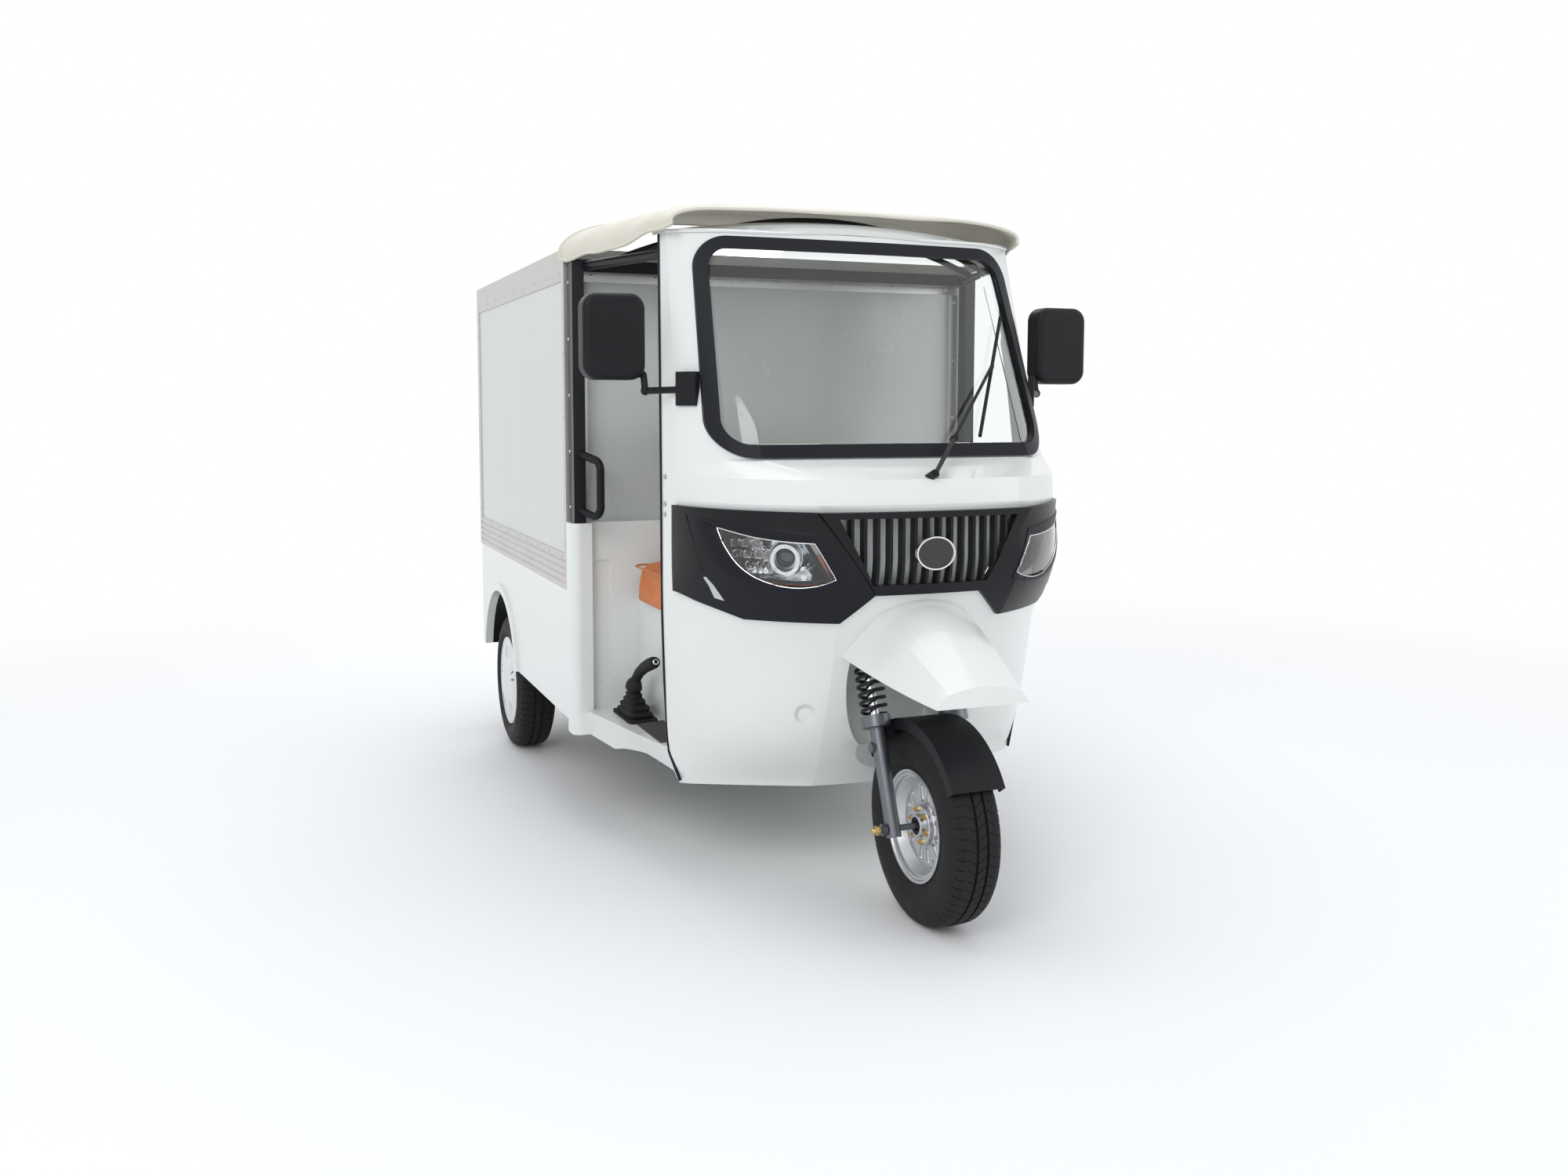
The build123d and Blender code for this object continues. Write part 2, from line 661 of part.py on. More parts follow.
def wiper():
    """A pivot on the cowl, a two-piece arm and a blade on the glass."""
    knee = (137, 160, 1221)
    hinge = (0, 2, 1142)
    grip = (330, 297, 1420)
    arm = rod(hinge, knee, 6) + rod(knee, grip, 4.5) + rod((137, 152, 1224), (137, 168, 1218), 9)
    blade = rod((242, 207, 1226), (398, 372, 1556), 5)
    save("wiper", arm + blade + wiper_pivot(0) + rod(grip, (329.4, 299.4, 1410.8), 6))


def mirrors():
    """A rounded head on a cranked arm, bolted to the pillar."""
    head = Pos(684, 520, 1486) * Rot(X=90) * extrude(RectangleRounded(168, 226, 40), amount=30, both=True)
    head = fillet(head.faces().sort_by(Axis.Y)[0].edges(), 18)
    glass = Pos(684, 550, 1486) * Rot(X=90) * extrude(RectangleRounded(150, 206, 32), amount=4)
    arm = rod((518, 396, 1348), (602, 500, 1345), 9) + rod((602, 500, 1345), (602, 515, 1390), 9)
    arm += Pos(602, 500, 1345) * Sphere(12) + rod((598, 515, 1388), (640, 520, 1390), 9)
    plate = (Pos(518, 396, 1350) * Rot(Z=-33) * Box(18, 66, 88)) - screen_form(SEAT_GAP)
    arm -= screen_form(SEAT_GAP)
    save("mirrors", pair(head + arm + plate - glass))


# Cab floor, sills, low back wall and the pieces on the floor
# Columns: station, half width of the floor's edge, half width and height of the sill's lower edge.
SILL_ROWS = [
    (DOOR_Y + 0.3, 553, 505, 276),
    (670, 588, 528, 276),
    (870, 622, 590, 290),
    (TUB_BACK_Y, TUB_HALF - 33, TUB_HALF - 48, 312),
]


def sill_section(row, inset, raise_low):
    """A cross-section of the floor tub: a tray with sides that lean inward below."""
    y, half, low_half, low_z = row
    points = [
        (-half + inset, FLOOR_Z), (half - inset, FLOOR_Z),
        (low_half - inset, low_z - raise_low), (-low_half + inset, low_z - raise_low),
    ]
    return Pos(0, y, 0) * (Plane.XZ * make_face(Polyline(*points, close=True)))


def cab_tub():
    """Floor, sills and back wall, with a column at each rear door edge."""
    tray = loft([sill_section(row, 0, 0) for row in SILL_ROWS], ruled=True)
    under = loft([sill_section(row, WALL, 60) for row in SILL_ROWS], ruled=True)
    under = under & block(-800, 800, 0, 1200, 0, FLOOR_Z - FLOOR_T)
    foot = block(-430, 430, TUB_FRONT_Y, DOOR_Y + 1, FLOOR_Z - FLOOR_T, FLOOR_Z)
    tub = tray - under + foot
    wall_end = BOX_FRONT_Y - SEAT_GAP
    wall = block(-TUB_HALF + 40, TUB_HALF - 40, TUB_BACK_Y, wall_end, FLOOR_Z - FLOOR_T, TUB_TOP_Z)
    recess = Pos(0, TUB_BACK_Y, 0.5 * (FLOOR_Z + TUB_TOP_Z) + 180) * Rot(X=90)
    wall -= recess * extrude(RectangleRounded(760, 110, 40), amount=10, both=True)
    for x in (98 - TUB_HALF, TUB_HALF - 98):
        groove = extrude(RectangleRounded(60, 380, 20), amount=6, both=True)
        wall -= Pos(x, TUB_BACK_Y, 650) * Rot(X=90) * groove
    tub += wall
    column = block(TUB_HALF - 62, TUB_HALF, TUB_BACK_Y - 32, wall_end, 312, TUB_TOP_Z)
    column = fillet(column.edges().filter_by(Axis.Z).sort_by(Axis.Y)[:2].sort_by(Axis.X)[1:], 26)
    for post in both(column):
        tub += post
    slot = NECK_HALF + SEAT_GAP
    tub -= block(-slot, slot, TUB_FRONT_Y - 1, NECK_Y + slot, FLOOR_Z - FLOOR_T - 1, FLOOR_Z + 1)
    save("cab_tub", tub)


def seat():
    """A moulded box on the floor, open below, with the cushion overhanging it."""
    half = SEAT_HALF - SEAT_OVERHANG
    front = SEAT_FRONT_Y + SEAT_OVERHANG
    base = block(-half, half, front, TUB_BACK_Y - SEAT_GAP, FLOOR_Z, SEAT_LOW_Z - SEAT_GAP)
    inner = half - WALL
    base -= block(-inner, inner, front + WALL, TUB_BACK_Y - WALL, FLOOR_Z - 1, SEAT_LOW_Z - 20)
    save("seat_base", base)
    cushion = block(-SEAT_HALF, SEAT_HALF, SEAT_FRONT_Y, SEAT_REAR_Y, SEAT_LOW_Z, SEAT_HIGH_Z)
    cushion = fillet(cushion.edges().filter_by(Axis.Z), 40)
    save("seat_cushion", fillet(cushion.faces().sort_by(Axis.Z)[-1].edges(), 24))


def floor_pieces():
    """Mat, foot pedal and hand lever in its bellows boot."""
    save("floor_mat", block(-MAT_HALF, MAT_HALF, DOOR_Y + 4, SEAT_FRONT_Y + 30, FLOOR_Z, FLOOR_Z + MAT_T))
    folds = [(0, 0), (46, 0), (46, 12)]
    for count in range(BOOT_FOLDS):
        height = 12 + count * 24
        folds += [(40 - 5 * count, height + 6), (44 - 5 * count, height + 18)]
    top = 12 + BOOT_FOLDS * 24
    folds += [(12, top), (0, top)]
    boot = revolve(Plane.XZ * make_face(Polyline(*folds, close=True)), Axis.Z)
    place = Pos(LEVER_X, LEVER_Y, FLOOR_Z)
    boot = place * Rot(X=LEVER_LEAN) * boot
    save("lever_boot", boot - block(-900, 900, 0, 1200, 0, FLOOR_Z))
    handle = Pos(0, 0, top + SEAT_GAP + 45) * Cylinder(9, 90) + Pos(0, 0, top + 105) * Cylinder(15, 70)
    save("hand_lever", place * Rot(X=LEVER_LEAN) * fillet(handle.edges().sort_by(Axis.Z)[-1], 6))
    pedal = block(120, 200, DOOR_Y - 20, DOOR_Y - 8, FLOOR_Z + 90, FLOOR_Z + 150)
    pedal += rod((160, DOOR_Y - 14, FLOOR_Z + 110), (160, DOOR_Y - 14, FLOOR_Z), 9)
    save("brake_pedal", pedal)


# Black hoop behind the driver, its top rails and grab handles, and the canopy
def hoop():
    posts = block(HOOP_X - 18, HOOP_X + 18, HOOP_Y - 22, HOOP_Y + 22, TUB_TOP_Z, HOOP_TOP_Z)
    frame = block(-HOOP_X - 18, HOOP_X + 18, HOOP_Y - 22, HOOP_Y + 22, HOOP_TOP_Z - 36, HOOP_TOP_Z)
    for post in both(posts):
        frame += post
    front_y = DOOR_Y + 98
    level = HOOP_TOP_Z - 18
    for rail in both(rod((HOOP_X - 20, HOOP_Y, level), (508, front_y + 4, level), 14)):
        frame += rail
    for y in (HOOP_Y - 150, HOOP_Y - 300):
        half = 508 + (HOOP_X - 528) * (y - front_y) / (HOOP_Y - front_y)
        arc = ThreePointArc((-half, y, level), (0, y, CANOPY_TOP - 28), (half, y, level))
        frame += sweep(Plane(origin=arc @ 0, z_dir=arc % 0) * Circle(9), path=arc)
    save("hoop_frame", frame)
    handle_path = FilletPolyline(
        (HOOP_X, HOOP_Y - 10, 1165), (HOOP_X - 44, HOOP_Y - 96, 1140), (HOOP_X - 44, HOOP_Y - 96, 970),
        (HOOP_X, HOOP_Y - 10, 996), radius=30,
    )
    handle = sweep(Plane(origin=handle_path @ 0, z_dir=handle_path % 0) * Circle(12), path=handle_path)
    handle -= block(HOOP_X - 18, HOOP_X + 18, HOOP_Y - 22, HOOP_Y + 22, 800, 1300)
    save("grab_handles", pair(handle))


# Columns: station, half width, edge height, crown height
CANOPY_ROWS = [
    (522, 534, 1781, 1822),
    (640, 575, 1755, 1862),
    (BOX_FRONT_Y - SEAT_GAP, BOX_HALF + 2, 1742, CANOPY_TOP),
]


def canopy_section(row, inset):
    """A crowned cross-section of the canopy, open downward where it is inset."""
    y, half, edge, crown = row
    low = edge - (120 if inset else 0)
    side = half - inset
    top = crown - inset
    shoulder = edge + 0.34 * (crown - edge)
    outline = Wire([
        Line((-side, low), (side, low)).edge(),
        Line((side, low), (side, shoulder)).edge(),
        ThreePointArc((side, shoulder), (0, top), (-side, shoulder)).edge(),
        Line((-side, shoulder), (-side, low)).edge(),
    ])
    return Pos(0, y, 0) * (Plane.XZ * Face(outline))


def canopy():
    outer = loft([canopy_section(row, 0) for row in CANOPY_ROWS], ruled=True)
    inner = loft([canopy_section(row, CANOPY_T) for row in CANOPY_ROWS], ruled=True)
    keep = block(-800, 800, 0, BOX_FRONT_Y - SEAT_GAP - CANOPY_T, 1500, 2000)
    save("canopy", outer - (inner & keep))


def dashboard():
    """A shelf under the windscreen with an instrument pod."""
    section = [(20, 1090), (20, 1105), (250, 1105), (250, 1070), (235, 1070), (235, 1090)]
    shelf = side_profile(section, -520, 520)
    pod = side_profile([(150, 1104), (170, 1150), (215, 1158), (245, 1104)], -85, 85)
    cavity = cowl_form(-WALL - SEAT_GAP, back=60)
    save("dashboard", (shelf + pod) & cavity)


# Cargo box: an aluminium frame with panels between its members
def box_frame():
    inner = BOX_HALF - RAIL_T
    members = []
    for x in (-1, 1):
        a, b = sorted((x * inner, x * BOX_HALF))
        members.append(block(a, b, BOX_FRONT_Y, BOX_REAR_Y, BOX_HIGH_Z - TOP_RAIL_H, BOX_HIGH_Z))
        members.append(block(a, b, BOX_FRONT_Y, BOX_REAR_Y, BOX_LOW_Z, BOX_LOW_Z + LOW_RAIL_H))
        members.append(block(a, b, BOX_FRONT_Y, BOX_FRONT_Y + POST_W, BOX_LOW_Z, BOX_HIGH_Z))
        a, b = sorted((x * (BOX_HALF - REAR_POST_W), x * BOX_HALF))
        members.append(block(a, b, BOX_REAR_Y - REAR_POST_W, BOX_REAR_Y, BOX_LOW_Z, BOX_HIGH_Z))
    for y0, y1 in ((BOX_FRONT_Y, BOX_FRONT_Y + POST_W), (BOX_REAR_Y - REAR_POST_W, BOX_REAR_Y)):
        members.append(block(-BOX_HALF, BOX_HALF, y0, y1, BOX_HIGH_Z - HEADER_H, BOX_HIGH_Z))
        members.append(block(-BOX_HALF, BOX_HALF, y0, y1, BOX_LOW_Z, BOX_LOW_Z + FLOOR_PANEL_T + 6))
    frame = members[0]
    for member in members[1:]:
        frame += member
    rib = Cylinder(4, BOX_REAR_Y - BOX_FRONT_Y - 40)
    for count in range(LOW_RIBS):
        z = BOX_LOW_Z + LOW_RAIL_H * (count + 1) / (LOW_RIBS + 1)
        for x in (-BOX_HALF, BOX_HALF):
            groove = Pos(x, (BOX_FRONT_Y + BOX_REAR_Y) / 2, z) * Rot(X=90) * rib
            frame -= groove
    return frame


def cargo_box():
    save("cargo_frame", box_frame())
    front = BOX_FRONT_Y + POST_W
    rear = BOX_REAR_Y - REAR_POST_W
    inner = BOX_HALF - RAIL_T
    low = BOX_LOW_Z + LOW_RAIL_H
    high = BOX_HIGH_Z - TOP_RAIL_H
    wall = block(BOX_HALF - PANEL_RECESS - PANEL_T, BOX_HALF - PANEL_RECESS, front, rear, low, high)
    save("cargo_walls", pair(wall))
    floor_low = BOX_LOW_Z + 3
    save("cargo_floor", block(-inner, inner, front, rear, floor_low, floor_low + FLOOR_PANEL_T))
    roof_high = BOX_HIGH_Z - PANEL_RECESS
    save("cargo_roof", block(-inner, inner, front, rear, roof_high - PANEL_T, roof_high))
    header = BOX_HIGH_Z - HEADER_H
    sill = BOX_LOW_Z + FLOOR_PANEL_T + 6
    face = BOX_FRONT_Y + 2
    save("cargo_front_wall", block(-inner, inner, face, face + PANEL_T, sill, header))


def rear_doors():
    """Two leaves between the rear posts, with hinge knuckles outside and a lock bar."""
    edge = BOX_HALF - REAR_POST_W
    low = BOX_LOW_Z + FLOOR_PANEL_T + 6 + DOOR_GAP
    high = BOX_HIGH_Z - HEADER_H - DOOR_GAP
    leaf = block(DOOR_GAP / 2, edge - DOOR_GAP, BOX_REAR_Y - DOOR_T, BOX_REAR_Y, low, high)
    side, hem = DOOR_GAP / 2 + DOOR_FRAME_W, edge - DOOR_GAP - DOOR_FRAME_W
    leaf -= block(side, hem, BOX_REAR_Y - 3, BOX_REAR_Y + 1, low + DOOR_FRAME_W, high - DOOR_FRAME_W)
    pins = []
    for z in HINGE_Z:
        knuckle = Pos(HINGE_X, HINGE_Y, z) * (Cylinder(HINGE_R, HINGE_H) - Cylinder(4, HINGE_H))
        flap = block(edge - 70, HINGE_X - 2, BOX_REAR_Y, BOX_REAR_Y + 3, z - HINGE_H / 2, z + HINGE_H / 2)
        leaf += knuckle + (flap - Pos(HINGE_X, HINGE_Y, z) * Cylinder(4, HINGE_H + 1))
        for step in (-1, 1):
            middle = z + step * (HINGE_H / 2 + 12)
            lug = Pos(HINGE_X, HINGE_Y, middle) * Cylinder(HINGE_R, 22)
            lug += block(HINGE_X, BOX_HALF, BOX_REAR_Y, BOX_REAR_Y + 4, middle - 11, middle + 11)
            pins.append(lug)
        pins.append(Pos(HINGE_X, HINGE_Y, z) * Cylinder(3.5, HINGE_H + 26))
    bar = Pos(70, BOX_REAR_Y + 20, (low + high) / 2) * Cylinder(8, high - low - 60)
    for z in (low + 50, (low + high) / 2, high - 50):
        bar += block(56, 84, BOX_REAR_Y - 4, BOX_REAR_Y + 26, z - 14, z + 14)
    bar += block(76, 210, BOX_REAR_Y + 14, BOX_REAR_Y + 26, 1180, 1206)
    left, right = both(leaf)
    save("rear_door_left", left)
    save("rear_door_right", right + mirror(bar, Plane.YZ))
    hinge_set = pins[0]
    for pin in pins[1:]:
        hinge_set += pin
    save("door_hinges", Compound(children=[*solids_of(hinge_set), *solids_of(mirror(hinge_set, Plane.YZ))]))


def solids_of(shape):
    """The separate solids of a shape."""
    return list(shape.solids())


# White skirts below the box, the rear valance, lamps and bumper
def skirts():
    outline = block(TUB_HALF - SKIRT_T, TUB_HALF, BOX_FRONT_Y, SKIRT_END_Y, SKIRT_LOW_Z, BOX_LOW_Z)
    arch = Pos(TUB_HALF, WHEELBASE, ARCH_Z) * Rot(Y=90)
    lip = arch * (Cylinder(ARCH_R + ARCH_LIP, 2 * ARCH_PROUD) - Cylinder(ARCH_R, 2 * ARCH_PROUD + 2))
    keep = block(TUB_HALF - 5, TUB_HALF + ARCH_PROUD, BOX_FRONT_Y, SKIRT_END_Y, SKIRT_LOW_Z, BOX_LOW_Z)
    skirt = outline + (lip & keep) - arch * Cylinder(ARCH_R, 200)
    save("body_skirts", pair(skirt))
    inner = REAR_TRACK / 2 - REAR_TYRE_W / 2 - HOUSING_GAP
    depth = TUB_HALF - inner
    housing = arch * (Cylinder(ARCH_R + 5, 2 * depth) - Cylinder(ARCH_R + 1, 2 * depth + 2))
    closing = arch * Pos(0, 0, -depth) * Cylinder(ARCH_R + 5, 4)
    keep = block(inner - 2, TUB_HALF - SKIRT_T - SEAT_GAP, BOX_FRONT_Y, SKIRT_END_Y, SKIRT_LOW_Z, BOX_LOW_Z)
    housing = (housing + closing) & keep
    save("wheel_housings", pair(housing))
    inner = TUB_HALF - SKIRT_T
    valance = block(-inner, inner, SKIRT_END_Y - SKIRT_T, SKIRT_END_Y, SKIRT_LOW_Z, BOX_LOW_Z)
    holes = []
    lamps = []
    for x in (-LAMP_X, LAMP_X):
        place = Pos(x, SKIRT_END_Y, LAMP_Z) * Rot(X=90)
        holes.append(place * extrude(RectangleRounded(180, 90, 20), amount=SKIRT_T + 2, both=True))
        lamp = extrude(RectangleRounded(180 - 2 * SEAT_GAP, 90 - 2 * SEAT_GAP, 19), amount=SKIRT_T)
        lamps.append(place * Pos(0, 0, -6) * lamp)
    for hole in holes:
        valance -= hole
    save("rear_valance", valance)
    save("tail_lamps", Compound(children=lamps))
    bumper = Pos(0, REAR_END_Y - 20, 400) * Rot(Y=90) * Cylinder(20, 1100)
    for x in (-RAIL_X, RAIL_X):
        bumper += block(x - 12, x + 12, SKIRT_END_Y + SEAT_GAP, REAR_END_Y - 20, 386, 414)
    save("rear_bumper", bumper)


# Chassis under the body
def chassis():
    """Two rails kicked up over the rear axle, cross-members, bearers and steering neck."""
    low, high = LOW_RAIL_TOP, HIGH_RAIL_TOP
    rail = [
        (TUB_FRONT_Y + 10, low), (BOX_FRONT_Y + 5, low), (BOX_FRONT_Y + 180, high), (RAIL_END_Y, high),
        (RAIL_END_Y, high - RAIL_H), (BOX_FRONT_Y + 205, high - RAIL_H), (BOX_FRONT_Y + 30, low - RAIL_H),
        (TUB_FRONT_Y + 10, low - RAIL_H),
    ]
    frame = None
    for x in (-RAIL_X, RAIL_X):
        beam = side_profile(rail, x - RAIL_W / 2, x + RAIL_W / 2)
        frame = beam if frame is None else frame + beam
    members = (
        (TUB_FRONT_Y + 30, low), (BOX_FRONT_Y - 70, low), (BOX_FRONT_Y + 430, high),
        (BOX_FRONT_Y + 730, high), (RAIL_END_Y - 30, high),
    )
    for y, top in members:
        frame += block(-RAIL_X, RAIL_X, y - 20, y + 20, top - RAIL_H, top)
    for y in BEARER_Y:
        frame += block(48 - BOX_HALF, BOX_HALF - 48, y - 20, y + 20, BOX_LOW_Z - BEARER_H, BOX_LOW_Z)
        for x in (-RAIL_X, RAIL_X):
            frame += block(x - 20, x + 20, y - 20, y + 20, high - 5, BOX_LOW_Z - BEARER_H + 5)
    eye_z = REAR_TYRE_R + 50 + LEAF_BOW + LEAF_T * LEAVES + 0.2 + 2 * SEAT_GAP
    for y in (WHEELBASE - LEAF_REACH + 20, WHEELBASE + LEAF_REACH - 20):
        frame += block(-SPRING_X - 34, SPRING_X + 34, y - 18, y + 18, high - RAIL_H + 4, high - 20)
        for x in (-SPRING_X, SPRING_X):
            frame += block(x - 30, x + 30, y - 18, y + 18, eye_z, high - 24)
    half = NECK_HALF
    frame += block(-half, half, NECK_Y - half, NECK_Y + half, low - RAIL_H, NECK_Z)
    head = fork_tube(0, HEAD_LOW, HEAD_HIGH, STEM_R + 14)
    axis_y = fork_point(0, 0, (HEAD_LOW + HEAD_HIGH) / 2)[1]
    frame += head + block(-24, 24, axis_y, NECK_Y, NECK_Z - 60, NECK_Z)
    frame -= fork_tube(0, HEAD_LOW - 5, HEAD_HIGH + 5, STEM_R + SEAT_GAP)
    save("chassis_frame", frame)


def rear_axle():
    """A tube axle with a gear housing, plates for the springs and a motor."""
    place = Pos(0, WHEELBASE, REAR_TYRE_R)
    half = REAR_TRACK / 2 - 0.39 * REAR_TYRE_W - 5 + 30
    axle = place * Rot(Y=90) * Cylinder(32, 2 * half - 2 * SEAT_GAP)
    gears = turned([(-120, 0), (-120, 30), (-70, GEAR_R), (70, GEAR_R), (120, 30), (120, 0)])
    axle += place * gears
    for x in (-SPRING_X, SPRING_X):
        axle += place * Pos(x, 0, 34) * Box(70, 110, 32)
    save("rear_axle", axle)
    motor_y = WHEELBASE - GEAR_R - MOTOR_R - SEAT_GAP
    motor = Pos(0, motor_y, REAR_TYRE_R) * Rot(Y=90) * Cylinder(MOTOR_R, 130)
    save("drive_motor", motor)
    save("leaf_springs", pair(leaf_pack(SPRING_X)))


def leaf_pack(x):
    """A bowed pack of leaves that get shorter downward, with an eye at each end."""
    seat_z = REAR_TYRE_R + 50 + SEAT_GAP
    pack = None
    for count in range(LEAVES):
        reach = LEAF_REACH * (1 - 0.17 * count)
        lift = LEAF_BOW * (reach / LEAF_REACH) ** 2
        drop = LEAF_T * (LEAVES - 1 - count)
        low, high = lift + drop, lift + drop + LEAF_T + 0.2
        face = make_face(Wire([
            ThreePointArc((-reach, low), (0, drop), (reach, low)).edge(),
            Line((reach, low), (reach, high)).edge(),
            ThreePointArc((reach, high), (0, drop + LEAF_T + 0.2), (-reach, high)).edge(),
            Line((-reach, high), (-reach, low)).edge(),
        ]))
        leaf = extrude(Plane.YZ * face, amount=30, both=True)
        pack = leaf if pack is None else pack + leaf
    return Pos(x, WHEELBASE, seat_z) * pack


def battery_box():
    half = RAIL_X - RAIL_W / 2 - SEAT_GAP
    front = BATTERY_REAR_Y - BATTERY_L
    save("battery_box", block(-half, half, front, BATTERY_REAR_Y, BATTERY_LOW_Z, BOX_LOW_Z - BEARER_H - 40))


def main():
    os.makedirs("parts", exist_ok=True)
    for build in (
        wheels, fork, inner_mudguard, handlebar, lower_front_body, lamp_band, headlamps, grille,
        upper_front_body, windscreen, beak, wiper, mirrors, cab_tub, seat, floor_pieces, hoop, canopy,
        dashboard, cargo_box, rear_doors, skirts, chassis, rear_axle, battery_box,
    ):
        build()


main()
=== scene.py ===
import math
import bmesh
import bpy
from mathutils import Matrix, Vector
from mathutils.bvhtree import BVHTree


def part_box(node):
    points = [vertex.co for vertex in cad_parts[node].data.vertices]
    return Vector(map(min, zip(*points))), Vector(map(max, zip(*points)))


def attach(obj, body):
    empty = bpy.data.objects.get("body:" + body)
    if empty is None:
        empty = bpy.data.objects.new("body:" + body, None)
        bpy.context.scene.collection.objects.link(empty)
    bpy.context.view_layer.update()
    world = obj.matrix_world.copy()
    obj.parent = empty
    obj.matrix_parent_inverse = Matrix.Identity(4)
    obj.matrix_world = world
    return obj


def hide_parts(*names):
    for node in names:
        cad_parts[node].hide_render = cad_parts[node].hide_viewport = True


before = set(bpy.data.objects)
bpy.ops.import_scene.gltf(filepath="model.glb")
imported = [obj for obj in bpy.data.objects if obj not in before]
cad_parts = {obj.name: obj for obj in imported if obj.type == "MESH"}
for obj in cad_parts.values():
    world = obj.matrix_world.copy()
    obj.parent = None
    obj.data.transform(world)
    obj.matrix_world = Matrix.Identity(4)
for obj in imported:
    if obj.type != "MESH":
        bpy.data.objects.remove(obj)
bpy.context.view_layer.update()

bl_info = {
    "name": "Enclosed Cargo Tricycle",
    "version": (1, 0, 0),
    "blender": (4, 5, 0),
    "location": "3D View > Sidebar > Tricycle",
    "description": "Dresses the tricycle's solids with tread, soft goods, fittings and finishes",
    "category": "Object",
}

CAB_Y = -1.2165  # the front axle's place along the vehicle
STEER_AXIS = Vector((0.0, 0.374607, 0.927184))
ROD_START, ROD_END = 0.286, 0.455  # the fork's bright rods, from the axle along the steering axis
LAMP_SWEEP = math.radians(43.6)
LAMP_FACE = (0.302, 0.106)  # x and station of the left lamp's inner end
FULL_TURN = 2 * math.pi


def corners(node):
    """The lowest and highest corners of a node's box."""
    return tuple(Vector(corner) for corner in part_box(node))


def middle(node):
    low, high = corners(node)
    return (low + high) / 2


def station(x, y, z):
    """A point given by its distance behind the front axle."""
    return Vector((x, y + CAB_Y, z))


# The round dish in each flank, on the left side
DIMPLE = station(0.264, 0.205, 0.512)
DIMPLE_RADIUS = 0.032


# Mesh helpers
def linked(name, data):
    """A new object in the scene."""
    made = bpy.data.objects.new(name, data)
    bpy.context.scene.collection.objects.link(made)
    return made


def mesh_of(form):
    """The mesh of a finished form, with its faces turned outwards. A mesh is given back as it is."""
    if isinstance(form, bpy.types.Mesh):
        return form
    bmesh.ops.recalc_face_normals(form, faces=form.faces)
    mesh = bpy.data.meshes.new("form")
    form.to_mesh(mesh)
    form.free()
    return mesh


def add_piece(name, form, finish, body="body", angle=40.0, stands_for=None):
    """Links a form as a piece with one finish, which rides on a body and may stand for a node."""
    mesh = mesh_of(form)
    mesh.name = name
    mesh.polygons.foreach_set("use_smooth", [True] * len(mesh.polygons))
    if angle:
        mesh.set_sharp_from_angle(angle=math.radians(angle))
    mesh.materials.clear()
    mesh.materials.append(FINISHES[finish])
    piece = linked(name, mesh)
    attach(piece, body)
    if stands_for:
        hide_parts(stands_for)
    return piece


def joined(*forms):
    """One mesh of several forms."""
    whole = bmesh.new()
    for form in forms:
        whole.from_mesh(mesh_of(form))
    return mesh_of(whole)


def both_sides(form):
    """A mesh of a form and its mirror image across the vehicle."""
    mesh = mesh_of(form)
    twin = mesh.copy()
    twin.transform(Matrix.Scale(-1, 4, (1, 0, 0)))
    return joined(mesh, twin)


def evaluated_mesh(source):
    """A plain mesh of an object with its modifiers worked out. The object stays."""
    bpy.context.view_layer.update()
    graph = bpy.context.evaluated_depsgraph_get()
    return bpy.data.meshes.new_from_object(source.evaluated_get(graph), depsgraph=graph)


def lathe(form, profile, place, steps=48):
    """Adds a (radius, along) profile turned about the place's Z axis."""
    rings = []
    for count in range(steps):
        turn = FULL_TURN * count / steps
        ring = []
        for radius, along in profile:
            point = Vector((radius * math.cos(turn), radius * math.sin(turn), along))
            ring.append(form.verts.new(place @ point))
        rings.append(ring)
    for ring, after in zip(rings, rings[1:] + rings[:1]):
        for index in range(len(profile) - 1):
            form.faces.new((ring[index], after[index], after[index + 1], ring[index + 1]))
    bmesh.ops.remove_doubles(form, verts=form.verts, dist=1e-6)
    return form


def turned(profile, place, steps):
    """A new form: a closed profile turned about the place's Z axis."""
    return lathe(bmesh.new(), (*profile, profile[0]), place, steps)


def prism(form, outline, place, height, bevel=0.0):
    """Adds a flat outline of (x, y) points, raised along the place's Z axis."""
    low, high = ([form.verts.new(place @ Vector((x, y, z))) for x, y in outline] for z in (0.0, height))
    form.faces.new(low[::-1])
    top = form.faces.new(high)
    for index in range(len(outline)):
        after = (index + 1) % len(outline)
        form.faces.new((low[index], low[after], high[after], high[index]))
    if bevel:
        bmesh.ops.bevel(form, geom=list(top.edges), offset=bevel, segments=2, affect="EDGES", profile=0.6)


def rounded_outline(width, height, radius, steps=6):
    """A rounded rectangle's (x, y) points."""
    points = []
    for quarter, (sx, sy) in enumerate(((1, 1), (-1, 1), (-1, -1), (1, -1))):
        x, y = sx * (width / 2 - radius), sy * (height / 2 - radius)
        for step in range(steps + 1):
            turn = math.pi / 2 * (quarter + step / steps)
            points.append((x + radius * math.cos(turn), y + radius * math.sin(turn)))
    return points


def hexagon(across):
    radius = across / math.sqrt(3)
    turns = [math.pi / 3 * side for side in range(6)]
    return [(radius * math.cos(turn), radius * math.sin(turn)) for turn in turns]


def aimed(place, direction):
    """A place whose Z axis points along a direction."""
    turn = Vector(direction).to_track_quat("Z", "Y").to_matrix().to_4x4()
    return Matrix.Translation(Vector(place)) @ turn


